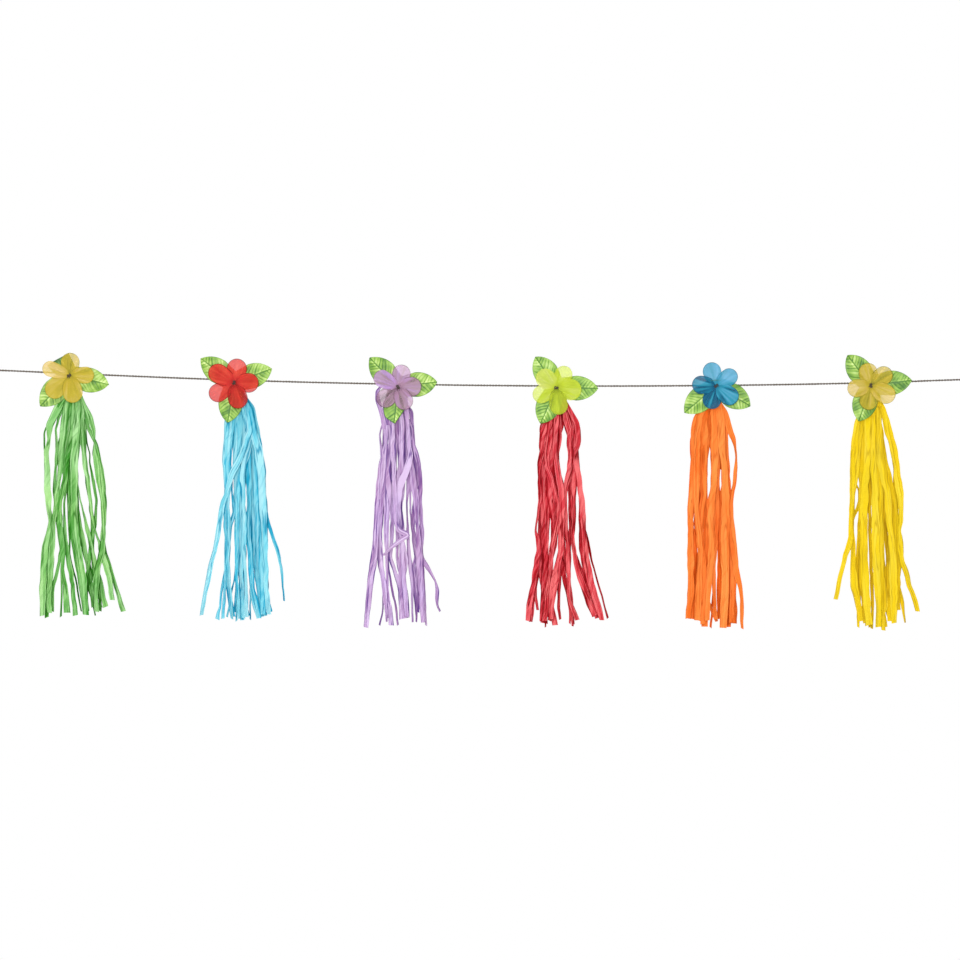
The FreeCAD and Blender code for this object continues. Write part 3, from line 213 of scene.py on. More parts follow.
def finished_piece(name, tubes, material, tone=None, uvs=None, sharp=None):
    """One mesh object out of closed tubes of rings: ends capped by quads from side to side, double points
    merged, faces turned outwards and smooth, save edges sharper than the angle given."""
    mesh = bpy.data.meshes.new(name)
    corners = []
    faces = []
    first = 0
    for rings in tubes:
        m, k = rings.shape[:2]
        corners.append(rings.reshape(-1, 3))
        faces += ring_quads(m, k, first).tolist()
        i = np.arange(k // 2 - 1)
        cap = np.stack([i, i + 1, k - 2 - i, k - 1 - i], axis=1)
        faces += (cap + first).tolist()
        faces += (cap[:, ::-1] + first + (m - 1) * k).tolist()
        first += m * k
    mesh.from_pydata(np.concatenate(corners).tolist(), [], faces)
    if uvs is not None:
        layer = mesh.uv_layers.new(name="UVMap")
        loop_corner = np.zeros(len(mesh.loops), dtype=np.int32)
        mesh.loops.foreach_get("vertex_index", loop_corner)
        layer.data.foreach_set("uv", np.concatenate(uvs)[loop_corner].astype(np.float32).ravel())
    if tone is not None:
        shade = mesh.attributes.new("tone", "FLOAT", "POINT")
        shade.data.foreach_set("value", np.concatenate(tone).astype(np.float32))
    work = bmesh.new()
    work.from_mesh(mesh)
    bmesh.ops.remove_doubles(work, verts=work.verts, dist=1e-6)
    bmesh.ops.dissolve_degenerate(work, edges=work.edges, dist=1e-7)
    bmesh.ops.recalc_face_normals(work, faces=work.faces)
    work.to_mesh(mesh)
    work.free()
    mesh.polygons.foreach_set("use_smooth", np.ones(len(mesh.polygons), dtype=bool))
    if sharp:
        mesh.set_sharp_from_angle(angle=math.radians(sharp))
    mesh.materials.append(material)
    piece = bpy.data.objects.new(name, mesh)
    bpy.context.collection.objects.link(piece)
    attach(piece, "root")
    return piece


def plain_material(name, rough):
    """A principled material, with its node tree and its shader."""
    material = bpy.data.materials.new(name)
    material.use_nodes = True
    tree = material.node_tree
    shader = tree.nodes["Principled BSDF"]
    shader.inputs["Roughness"].default_value = rough
    return material, tree, shader


def colour_ramp(tree, factor, stops):
    """Colour from a 0 to 1 value, through (place, colour) stops."""
    ramp = tree.nodes.new("ShaderNodeValToRGB")
    points = ramp.color_ramp.elements
    points[0].position, points[0].color = stops[0][0], (*stops[0][1], 1)
    points[1].position, points[1].color = stops[-1][0], (*stops[-1][1], 1)
    for place, colour in stops[1:-1]:
        point = points.new(place)
        point.color = (*colour, 1)
    tree.links.new(factor, ramp.inputs[0])
    return ramp.outputs[0]


def written(hex_colour):
    """Linear colour from a screen colour written as six hex digits."""
    values = np.array([int(hex_colour[i:i + 2], 16) for i in (0, 2, 4)]) / 255
    return tuple(np.where(values <= 0.04045, values / 12.92, ((values + 0.055) / 1.055) ** 2.4))


def coordinates(tree):
    """A piece's own UV, then its Object coordinates."""
    uv = tree.nodes.new("ShaderNodeUVMap").outputs[0]
    return uv, tree.nodes.new("ShaderNodeTexCoord").outputs["Object"]


def bumped(tree, shader, height, strength, distance):
    """Send a height pattern to the shader's normal."""
    bump = tree.nodes.new("ShaderNodeBump")
    bump.inputs["Strength"].default_value = strength
    bump.inputs["Distance"].default_value = distance
    tree.links.new(height, bump.inputs["Height"])
    tree.links.new(bump.outputs[0], shader.inputs["Normal"])


def noise_of(tree, vector, scale, detail=2.0, rough=0.5):
    """Soft random pattern."""
    noise = tree.nodes.new("ShaderNodeTexNoise")
    noise.inputs["Scale"].default_value = scale
    noise.inputs["Detail"].default_value = detail
    noise.inputs["Roughness"].default_value = rough
    tree.links.new(vector, noise.inputs["Vector"])
    return noise.outputs["Fac"]


def stretched(tree, source, scale):
    """A coordinate stretched by a scale for each axis."""
    mapping = tree.nodes.new("ShaderNodeMapping")
    mapping.inputs["Scale"].default_value = scale
    tree.links.new(source, mapping.inputs["Vector"])
    return mapping.outputs[0]


def mixed(tree, factor, first, second, blend_type="MIX"):
    """Blend of two colours; factor is a socket or a number."""
    mix = tree.nodes.new("ShaderNodeMix")
    mix.data_type = "RGBA"
    mix.blend_type = blend_type
    for socket, value in ((mix.inputs[0], factor), (mix.inputs[6], first), (mix.inputs[7], second)):
        if isinstance(value, bpy.types.NodeSocket):
            tree.links.new(value, socket)
        elif isinstance(value, tuple):
            socket.default_value = (*value, 1)
        else:
            socket.default_value = value
    return mix.outputs[2]


hemp, tree, shader = plain_material("hemp_twine", 0.9)
uv, place = coordinates(tree)
fibre = noise_of(tree, stretched(tree, uv, (9.0, 1400.0, 1.0)), 1.0, 3.0, 0.6)
patches = noise_of(tree, place, 28.0)
hemp_colour = colour_ramp(tree, fibre, [(0.3, written("3E342C")), (0.52, written("675B50")),
                                        (0.72, written("988B7B"))])
hemp_colour = mixed(tree, patches, hemp_colour, written("665F59"))
tree.links.new(hemp_colour, shader.inputs["Base Color"])
bumped(tree, shader, fibre, 0.6, 0.0002)

ply_pitch = 6.5
ply_r = twine_d * 0.33
ply_offset = twine_d * 0.23
ply_sides = 8
points_per_turn = 14
twine_length = length_along(twine_path)[-1]
turns = twine_length / (ply_pitch * mm)
centre = resample(twine_path, int(turns * points_per_turn))
run = length_along(centre)
heading = np.gradient(centre, axis=0)
heading /= np.linalg.norm(heading, axis=1, keepdims=True)
depth_way = np.array([[0.0, 1.0, 0.0]])
up_way = np.cross(depth_way, heading)


def wander(count, steps, size, rng):
    """Slow random wave: random values at a few places, joined smoothly by cosines."""
    values = rng.uniform(-size, size, steps)
    where = np.linspace(0, steps - 1, count)
    low = np.clip(where.astype(int), 0, steps - 2)
    share = (1 - np.cos(np.pi * (where - low))) / 2
    return values[low] * (1 - share) + values[low + 1] * share


rng = np.random.default_rng(7)
plies = []
ply_uvs = []
for ply in range(2):
    angle = 2 * np.pi * run / (ply_pitch * mm) + ply * np.pi
    out_way = np.cos(angle)[:, None] * up_way + np.sin(angle)[:, None] * depth_way
    strand = centre + out_way * (ply_offset * mm)
    plump = 1 + wander(len(run), 260, 0.14, rng)
    plies.append(tube_rings(strand, ply_r * mm, ply_sides, depth_way, plump))
    u = np.tile(np.linspace(0, 1, ply_sides), len(run))
    ply_uvs.append(np.c_[u, np.repeat(run, ply_sides)])
twine = finished_piece("twine_plies", plies, hemp, uvs=ply_uvs)
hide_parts("twine")

# --- End knots ------------------------------------------------------------------------------------
# Where each hanging loop closes, the twine is wrapped tightly round its own two strands.
knot_start = 19.0
knot_len = 8.0
wrap_count = 4.4
wrap_r = 2.6
wrap_swell = 0.25
wrap_margin = 0.9
wrap_strand_r = 0.85
core_r = 1.9
for knot_name, node, foot_x, foot_z, side in (("left_wraps", "left_loop_knot", 0.0, 0.0, 1),
                                              ("right_wraps", "right_loop_knot", loop_span, loop_rise, -1)):
    t = np.linspace(0, 1, 170)
    angle = 2 * np.pi * wrap_count * t
    r = wrap_r + wrap_swell * np.sin(np.pi * t)
    x = foot_x + side * (knot_start + wrap_margin + (knot_len - 2 * wrap_margin) * t)
    coil = np.stack([x, r * np.sin(angle), foot_z + r * np.cos(angle)], axis=1) * mm
    rings = [tube_rings(coil, wrap_strand_r * mm, 8, np.array([[1.0, 0.0, 0.0]]))]
    core_x = foot_x + side * np.linspace(knot_start, knot_start + knot_len, 12)
    core = np.stack([core_x, 0 * core_x, foot_z + 0 * core_x], axis=1) * mm
    rings.append(tube_rings(core, core_r * mm, 12, depth_way))
    uvs = [np.c_[np.tile(np.linspace(0, 1, tube.shape[1]), tube.shape[0]),
                 np.repeat(np.linspace(0, 0.06, tube.shape[0]), tube.shape[1])] for tube in rings]
    wraps = finished_piece(knot_name, rings, hemp, uvs=uvs)
    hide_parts(node)

# --- Paper tassels --------------------------------------------------------------------------------
# Each tassel is one bundle of hand-cut crepe paper strips, folded in the middle over the twine and bound
# under it. The strips twist, cross and fan out to their cut ends.
# A row is one strip, front to back: its tone of painted light and shade (0 deep, 1 pale), then the places it
# passes through, each as how far down from the twine's loop, how far right, and how wide the strip shows
# there from the front.
GREEN = [
    (.62, (34, 7, 5), (65, 6, 7), (100, 3.5, 7), (150, 3.5, 7), (185, 6, 7), (205, 10, 7), (225, 14, 7),
     (265, 17.5, 6)),
    (.66, (36, -14, 8), (58, -24.5, 7.5), (72, -24, 3), (86, -27, 5.5), (103, -25, 5.5),
     (128, -25.5, 7.5), (150, -24.5, 5), (163, -22.5, 3.5), (190, -28, 6), (215, -30, 6.5),
     (266, -31, 5.5)),
    (.5, (34, 14, 3), (50, 21.5, 6), (62, 24.5, 4.5), (74, 25.5, 1), (88, 26.5, 6), (115, 31, 6.5),
     (140, 36, 5.5), (175, 36.5, 4), (195, 34, 6), (212, 29.5, 6), (240, 27, 6), (262, 28, 5)),
    (.6, (36, 11.5, 4.5), (62, 12, 6), (90, 14.5, 5), (120, 18.5, 4.5), (150, 22, 3), (170, 26, 2),
     (183, 30, 2.5), (200, 35, 5.5), (222, 42, 4.5), (249, 45, 4.5)),
    (.38, (36, 3, 5), (62, 3, 7), (88, -4, 6), (115, -7, 5.5), (140, -12, 4.5), (165, -12.5, 5),
     (190, -9.5, 5), (215, -9, 3), (235, -6, 5), (263, -4, 7)),
    (.55, (35, -6, 5), (62, -9.5, 6), (90, -11, 5), (118, -13, 4), (135, -16, 6), (160, -19, 4.5),
     (185, -21.5, 6), (215, -23, 6), (240, -25, 6), (263, -23.5, 5)),
    (.35, (35, -1, 5), (65, -5, 5), (92, -8.5, 4), (110, -8, 4), (130, -6, 2), (145, -8.5, 2),
     (175, -7, 3.5), (200, -4, 5), (225, .5, 4.5), (266, 4.5, 5)),
    (.35, (50, 6, 4), (90, 1, 5), (120, -2, 5), (150, -1.5, 4.5), (180, 1, 3.5), (205, 5, 4),
     (230, 10, 4.5), (264, 16, 5)),
    (.6, (60, 9, 5), (100, 5, 3), (125, 7, 1.3), (150, 11.5, 1.5), (172, 17.5, 4), (205, 24.5, 4.5),
     (230, 32, 4.5), (257, 37, 5)),
    (.4, (60, 14, 3), (78, 17, 1.2), (88, 20, 1.3), (98, 19.5, 1.6), (120, 24, 3), (140, 27, 2.5),
     (165, 25.5, 3.5), (190, 20.5, 3.5), (215, 18, 3), (240, 15, 4), (262, 18, 4)),
    (.35, (38, -10, 3), (62, -18, 2.2), (85, -16.5, 3), (105, -18.5, 2.5), (130, -18.5, 4), (150, -17, 4),
     (170, -15, 3), (182, -14, 2.5), (194, -11.5, 3), (212, -15.5, 3.5), (235, -20.5, 3.5),
     (262, -22, 3.5)),
    (.3, (40, -4, 4), (75, -13, 3), (97, -15.5, 1.6), (112, -13, 1.6), (130, -15.5, 3), (160, -13, 4.5),
     (190, -11, 4), (220, -11.5, 2), (268, -12.5, 1.8)),
    (.45, (60, 8, 4), (110, 3, 4), (150, 6.5, 2.5), (180, 11, 5), (210, 17, 4.5), (235, 21, 4.5),
     (257, 23.5, 5)),
    (.55, (60, 18, 4), (80, 27, 3), (110, 33, 4), (145, 36, 4), (180, 33, 4), (200, 36.5, 4.5),
     (222, 44, 4), (242, 50, 4.5), (262, 56.5, 5.5)),
    (.45, (50, -24, 2), (65, -30, 1.2), (82, -30.8, 1.3), (95, -29, 4), (120, -28, 3.5),
     (145, -27.5, 3.5), (165, -22.5, 4), (190, -25.5, 6), (220, -28, 5), (269, -28.5, 4)),
    (.25, (60, -3, 4), (120, -5, 3), (170, -4, 2), (200, -3, 1.5), (225, 2.5, 1.3), (262, 9.5, 1.4)),
    (.3, (80, 0, 4), (130, 1, 5), (180, 8, 5), (215, 20, 2), (235, 24.5, 1.5), (258, 31.5, 1.6)),
    (.3, (70, 3, 5), (140, 0, 5), (190, 4, 4), (220, 10, 3), (250, 21, 2), (267, 24.5, 1.6)),
    (.5, (80, 12, 3), (140, 19.5, 3), (175, 22, 4), (195, 21, 4), (220, 24, 5), (245, 30, 3),
     (262, 29, 4)),
]
BLUE = [
    (.75, (38, 11, 6), (55, 15, 6), (72, 10, 6), (90, 3, 6), (105, -4, 5), (119, -8.5, 4), (135, -13, 5),
     (160, -17.5, 5), (185, -22, 4.5), (210, -28, 4.5), (235, -33, 4), (258, -36.5, 4)),
    (.72, (32, 15, 5), (45, 17.5, 6), (60, 20.5, 7), (75, 25, 8), (95, 27.5, 7.5), (120, 29.5, 7),
     (145, 30.5, 6.5), (165, 31, 5), (185, 32, 6), (205, 33.5, 5.5), (230, 34, 5), (257, 37.5, 4.5)),
    (.7, (34, 8, 4), (58, 15.5, 5), (80, 7, 5.5), (100, -2.5, 5), (114, -6, 3.5), (128, -8.5, 3),
     (160, -7, 3.5), (200, -8.5, 4), (262, -3.5, 3)),
    (.75, (45, 16, 5), (62, 15.5, 5), (75, 13, 5), (90, 9, 5), (105, 7, 5), (125, 8, 5), (140, 9, 4),
     (165, 10.5, 5), (185, 9, 4.5), (200, 10.5, 3), (220, 12, 3), (240, 12.5, 3.5), (260, 12.5, 4)),
    (.5, (34, 12, 4), (62, 18, 5), (90, 10, 5.5), (118, 3, 4.5), (130, 1.5, 4), (172, 1.5, 4),
     (214, 1, 3), (262, 5, 3)),
    (.5, (34, -3, 6), (60, -7, 7), (90, -9, 7), (115, -9, 5), (128, -11.5, 3), (150, -12, 3),
     (200, -10, 3), (240, -12, 3), (262, -14, 3)),
    (.6, (46, -9.5, 5.5), (80, -11, 6), (100, -11, 5.5), (115, -11, 4), (130, -10.5, 2), (146, -9.5, 1.6),
     (162, -8.5, 4), (180, -9, 5.5), (200, -9.5, 5.5), (220, -9, 5), (240, -6.5, 4.5), (260, -3, 5)),
    (.3, (46, -5, 5), (62, -6, 4.5), (85, -6.5, 4.5), (105, -5, 2), (125, -4, 1.5), (145, -2, 4),
     (158, -6, 4), (180, -8, 5), (205, -10, 4.5), (220, -13, 3), (235, -16, 2), (250, -17.5, 2.2),
     (263, -20, 4)),
    (.6, (40, 3, 7), (70, 2, 8), (100, 1, 8), (130, 3, 8), (160, 4, 6), (200, 5, 5), (262, 8, 4)),
    (.35, (60, 13, 4), (80, 14, 5), (100, 14, 5), (120, 14, 5), (140, 14, 5), (160, 13, 6),
     (172, 13.5, 5), (190, 16, 5), (210, 17, 5), (230, 18, 5.5), (248, 22, 6), (262, 25, 5.5)),
    (.65, (38, 6.5, 6), (60, 6.5, 6), (80, 5, 5), (100, 4, 5.5), (120, 3.5, 6), (140, 4, 5), (165, 5, 5),
     (190, 7, 4.5), (200, 5.5, 2.5), (225, 4, 2), (245, 4.5, 2), (264, 7, 3.5)),
    (.25, (32, 17, 3), (42, 19.5, 1.5), (49, 21, 1.8), (60, 21.5, 3), (85, 22, 4.5), (110, 25, 4.5),
     (135, 27, 4), (160, 29, 4), (185, 27, 4.5), (205, 28, 5), (230, 30, 6), (258, 29.5, 6)),
    (.5, (50, 17, 5), (70, 19, 5), (90, 21, 5), (110, 22, 5.5), (140, 23, 6), (165, 24, 6),
     (185, 23.5, 5), (205, 25, 5), (225, 30, 6), (256, 36.5, 5)),
    (.65, (44, 0, 6), (70, -1, 6), (95, 0, 4.5), (120, -1, 3.5), (140, 0, 4.5), (165, 0, 5),
     (190, 1, 4.5), (205, 0, 2), (225, 0, 1.6), (265, 0, 1.8)),
    (.3, (60, 20, 4), (100, 27, 4), (135, 31, 3.5), (152, 33.5, 3), (165, 38, 3.6), (185, 44.5, 3.4),
     (205, 49.2, 2.8), (225, 51, 2), (243, 52, 2)),
    (.35, (60, 10, 6), (100, 9, 6), (130, 7, 4), (150, 8, 5), (170, 6, 4.5), (190, 8, 4.5), (210, 9, 2.2),
     (230, 8.5, 3), (250, 10.5, 4), (260, 13, 4)),
    (.6, (60, 16, 5), (100, 19, 5.5), (140, 19, 5.5), (170, 20, 5), (200, 21, 5), (225, 25, 6),
     (245, 27, 6), (260, 30, 6)),
    (.5, (60, -2, 5), (110, -1, 4), (160, 0, 4), (200, 0, 2.5), (215, -2.5, 1.6), (232, -5, 1.6),
     (247, -8, 1.8), (261, -11, 1.8)),
    (.45, (60, 12, 5), (120, 17, 5), (160, 18, 5), (200, 17, 4), (225, 16.5, 3), (240, 15, 2),
     (264, 14.8, 1.5)),
    (.45, (60, 24, 5), (100, 30, 4), (150, 32, 4), (190, 31, 5), (225, 33, 4.5), (254, 32, 3)),
    (.5, (70, 3, 6), (130, 3, 6), (180, 3, 5), (205, 1, 2.5), (240, -1, 3), (256, -1, 4)),
]
LILAC = [
    (.6, (40, -6, 5), (80, -5, 5), (120, -3, 4), (150, -2, 4), (161, 1, 6), (165.5, 12.5, 6), (171, 4, 5),
     (179, -6, 3), (188, -15.5, 2)),
    (.8, (60, 12, 4), (80, 14, 5), (92, 11, 6.5), (104, 6, 7), (116, 1, 6), (130, 1.5, 5), (150, 3, 4.5),
     (175, 5, 4), (215, 7, 4), (255, 10, 4)),
    (.6, (36, -13.5, 4), (48, -18, 1.6), (56, -19.3, 1.6), (68, -18, 2.5), (80, -17, 3.5), (92, -19, 4.5),
     (110, -21, 5), (130, -22, 4.5), (150, -23, 5), (170, -24, 6.5), (190, -26, 7), (210, -28.5, 6.5),
     (235, -31, 5.5), (267, -35, 4.6)),
    (.65, (38, -12, 5), (65, -13, 4.5), (80, -14, 5), (100, -15, 5.5), (120, -17, 5), (140, -19, 4.5),
     (165, -19.5, 4.5), (185, -19, 4.5), (200, -18, 5), (218, -15, 5), (238, -13, 4.5), (261, -11.5, 2)),
    (.62, (40, -7, 5), (55, -8, 4), (75, -10, 4), (100, -11, 6), (125, -12, 7), (150, -12, 6),
     (170, -12, 5), (190, -12, 3), (205, -11, 2.5), (225, -11.5, 3), (245, -9, 5), (265, -7, 5)),
    (.65, (38, 4, 5), (55, 5, 5), (70, 4, 5), (85, 4, 6), (100, 6, 6), (115, 4, 6), (135, 2, 6),
     (150, 2, 6), (165, 3, 5), (180, 7, 5), (195, 9, 5), (210, 8, 3), (225, 10, 2), (256, 12, 2)),
    (.5, (36, 2, 6), (60, 3, 6), (80, 4.5, 5), (100, 1.5, 6), (120, 0, 6), (145, 3, 5), (170, 5, 5),
     (200, 3, 5), (235, 4, 6), (258, 6, 8)),
    (.55, (38, 11, 3), (50, 12, 4), (65, 13, 5), (80, 14, 5), (95, 17, 6), (110, 18, 6), (125, 20, 6),
     (140, 21, 5.5), (155, 22, 4), (175, 23.5, 4.5), (190, 24, 6), (205, 25, 6), (225, 26, 5.5),
     (245, 27, 5), (262, 28, 4)),
    (.6, (43, -2, 6), (60, -2, 6), (80, -4, 6), (100, -4, 5), (115, -5, 5), (135, -6, 5), (155, -6, 4),
     (175, -7, 4), (190, -8, 4.5), (207, -3, 4), (222, 1.5, 3.5), (236, 6, 7), (257, 7.5, 9)),
    (.45, (34, 9, 3), (43, 14, 2), (50, 16.6, 1.8), (58, 16, 2), (65, 16.5, 3), (74, 19.5, 4.5),
     (86, 22.5, 4), (98, 24, 4), (115, 25, 3.5), (135, 25, 3.5), (150, 26, 4), (163, 27, 3.5),
     (180, 26, 3.5), (191, 28, 3), (200, 32, 5), (207, 36.5, 3), (217, 42, 1.6), (226, 43.8, 3.6),
     (236, 43, 3.8), (244, 44, 2), (250, 47, 1.6)),
    (.12, (45, -9, 4), (70, -8, 4), (90, -8.5, 4.5), (105, -8, 4), (150, -11, 3), (190, -12, 2),
     (205, -10, 1.8), (220, -7.5, 2.2), (235, -4.5, 2), (248, -1.5, 2.2), (265, 1, 1.8)),
    (.5, (60, 9, 3), (80, 11, 4), (100, 12, 5), (115, 11, 4), (130, 9.5, 1.6), (145, 10, 1.6),
     (160, 11, 3), (175, 11.5, 3), (190, 13, 4), (205, 14, 4.5), (225, 16, 3), (245, 16, 2),
     (262, 16, 1.8)),
    (.3, (60, 12, 3), (95, 14, 3), (130, 13.2, 1.6), (147, 14.2, 1.6), (160, 15.5, 2.5), (178, 18, 3),
     (192, 20.5, 4), (210, 21, 3), (228, 22.5, 2.5), (251, 22.8, 2)),
    (.45, (60, 6, 4), (90, 8, 5), (120, 5, 4), (150, 0, 4), (170, -1, 4), (190, -1, 3), (205, 3, 5),
     (215, 6, 4), (228, 10, 2), (245, 11, 1.8), (255, 11.5, 1.6)),
    (.45, (70, 18, 4), (110, 21, 4), (140, 17, 4), (160, 17.5, 3), (180, 22, 3), (200, 17, 3),
     (215, 17, 5), (232, 19, 4), (262, 20.5, 1.8)),
    (.2, (60, 2, 4), (100, 3, 4), (125, 2, 5), (145, 1, 5), (165, 4, 4), (185, 5, 4), (205, 6, 3),
     (220, 7, 2.5), (235, 5, 2), (248, 6, 3)),
    (.4, (70, 17, 4), (100, 23, 3), (130, 24.5, 3), (150, 26, 3.5), (175, 26, 3), (195, 26.5, 4),
     (215, 28, 4), (240, 29, 3.5), (266, 31, 2)),
    (.35, (70, -15, 4), (110, -20, 4), (140, -22.5, 3.5), (170, -22, 4), (195, -21, 2.5), (215, -18, 2),
     (240, -14, 3), (258, -12, 2)),
    (.15, (60, -8, 4), (110, -14, 4), (160, -20, 4), (200, -18.5, 3), (230, -16, 2), (248, -17, 1.4),
     (266, -20, 1.4)),
]
RED = [
    (.75, (40, -2, 5), (75, -2, 5), (90, 0, 5), (105, 2, 5), (120, 4, 5.5), (135, 4.5, 6), (150, 4.5, 6),
     (165, 3.5, 5.5), (180, 3, 5), (195, 0, 5.5), (210, -3, 6.5), (225, -5, 6.5), (240, -7.5, 5),
     (256, -8, 5)),
    (.7, (34, 17, 5), (40, 20.5, 5), (50, 22, 5), (62, 22.5, 4.5), (72, 21, 4), (85, 20, 5),
     (95, 22, 4.5), (110, 24, 4.5), (125, 26, 5), (155, 28, 5), (170, 29, 5.5), (190, 31, 6),
     (210, 35, 6), (230, 40, 6), (245, 45, 5.5), (257, 48.5, 4.5)),
    (.7, (42, -9, 5), (60, -9, 6), (75, -12, 5), (88, -12, 4), (100, -8, 4), (115, -4, 4), (130, 0, 4),
     (145, 0, 3.5), (160, -3, 5), (175, -6, 5), (190, -8, 5), (205, -9, 2.5), (225, -12, 4),
     (258, -14.5, 5)),
    (.6, (34, 9, 6), (50, 14, 6), (65, 13, 5), (80, 15, 6), (93, 14, 7), (105, 10, 5), (115, 8, 4),
     (130, 8.5, 3.5), (150, 9, 3.5), (170, 10, 3), (185, 11, 4), (200, 11, 4.5), (215, 12, 3),
     (230, 12, 3), (245, 17, 4), (257, 21, 4.5)),
    (.6, (42, -9, 6), (55, -14, 6), (70, -17, 5), (85, -20.5, 4), (100, -21, 2.5), (125, -19.5, 3),
     (140, -22, 2.5), (153, -24.5, 1.8), (160, -25, 2), (168, -22.5, 4), (180, -21, 5), (200, -24, 5),
     (220, -27, 4.5), (240, -31, 5), (258, -32, 5)),
    (.5, (50, -6, 7), (80, -7, 8), (110, -8, 8), (135, -6, 6), (160, -5, 3), (185, -6, 2.5), (210, -8, 3),
     (258, -9, 3)),
    (.55, (60, 20, 4), (90, 19, 5), (125, 17, 5), (150, 17, 4), (165, 15.5, 3), (180, 17.5, 4),
     (195, 20, 4.5), (210, 24, 5), (225, 30, 5.5), (240, 35.5, 5.5), (252, 41, 5.5)),
    (.5, (50, -11, 5), (80, -12, 5), (110, -13, 6), (130, -11, 7), (150, -11, 5), (170, -12.5, 4),
     (190, -13, 4), (212, -13, 4), (235, -8, 5), (263, -3, 5)),
    (.4, (50, -15, 6), (85, -14, 7), (120, -14, 7), (150, -14, 7), (180, -14, 6), (200, -15, 4),
     (230, -16, 5), (258, -17, 5)),
    (.45, (36, 16, 7), (55, 18, 7), (75, 18, 5), (95, 20, 4), (115, 24, 3), (140, 25, 3.5), (165, 25.5, 5),
     (180, 27, 5), (215, 33.5, 6), (255, 44, 6)),
    (.5, (38, 1, 5), (55, 2, 5), (70, 0, 4), (85, -1, 3), (100, 0, 3), (115, 4, 3), (130, 7, 3),
     (150, 8, 3), (165, 6, 2), (180, 7, 2.5), (195, 9, 3.5), (210, 12, 3), (225, 14, 3), (245, 15.5, 3),
     (264, 17, 2.2)),
    (.45, (42, -18, 1.5), (48, -19.5, 1.5), (58, -18.5, 2.5), (66, -17.5, 4), (78, -16, 4), (95, -15, 5),
     (115, -16, 6), (130, -14, 6), (150, -15, 6), (170, -16, 6), (190, -18, 4), (203, -20, 3.5),
     (220, -17, 3), (240, -15, 6), (261, -15, 6)),
    (.1, (42, -4, 4), (60, -5, 4), (80, -6, 6), (100, -5, 5), (120, -3, 4), (140, -3.5, 4), (155, 0, 3),
     (172, -2, 3), (190, -6, 2.5), (210, -10, 2.2), (230, -10, 3), (254, -10.5, 3)),
    (.2, (34, 8, 5), (46, 10, 5), (60, 14, 4), (95, 16, 4), (110, 15.5, 6), (140, 15, 6), (155, 14, 4),
     (170, 13, 3), (190, 13, 3), (210, 13, 1.8), (225, 14, 1.6), (245, 16, 3), (263, 17, 2.5)),
    (.15, (60, 17, 4), (100, 19, 3), (125, 18, 2.5), (145, 17, 3), (165, 16.5, 3), (185, 19, 3),
     (205, 26.5, 4.5), (225, 34, 5), (245, 41, 5), (253, 43, 5)),
    (.45, (34, 5, 5), (46, 4, 4), (60, 0, 3), (90, 0, 3), (112, 5, 4), (150, 6, 3), (180, 6, 3),
     (200, 6, 4), (215, 8, 4), (230, 11, 3.5), (245, 13.5, 3), (262, 14, 1.6)),
    (.2, (34, 2, 5), (60, -2, 4), (90, -2, 3), (112, 1, 4), (150, 3, 4), (185, 5, 3), (200, 3, 4),
     (215, 1, 4), (232, 1.5, 2.4), (245, 1, 3), (257, 3.5, 2)),
    (.3, (60, -12, 4), (110, -18, 4), (150, -19, 4), (180, -19, 4), (205, -21, 4), (222, -25, 3),
     (234, -24, 3), (247, -21.8, 2.6)),
    (.1, (60, 20, 4), (110, 24, 3), (150, 28, 2), (162, 31, 2.5), (175, 34, 2.5), (190, 37.5, 1.8),
     (207, 42, 1.6), (225, 47, 1.8), (242, 52, 1.8), (256, 56, 1.8)),
    (.3, (70, -14, 4), (130, -19, 3), (180, -20, 4), (215, -24, 3.5), (240, -27.5, 3.5), (260, -29, 3.5)),
    (.4, (100, -8, 5), (160, -13, 3), (200, -12, 3), (240, -12, 2), (266, -13.5, 1.4)),
]
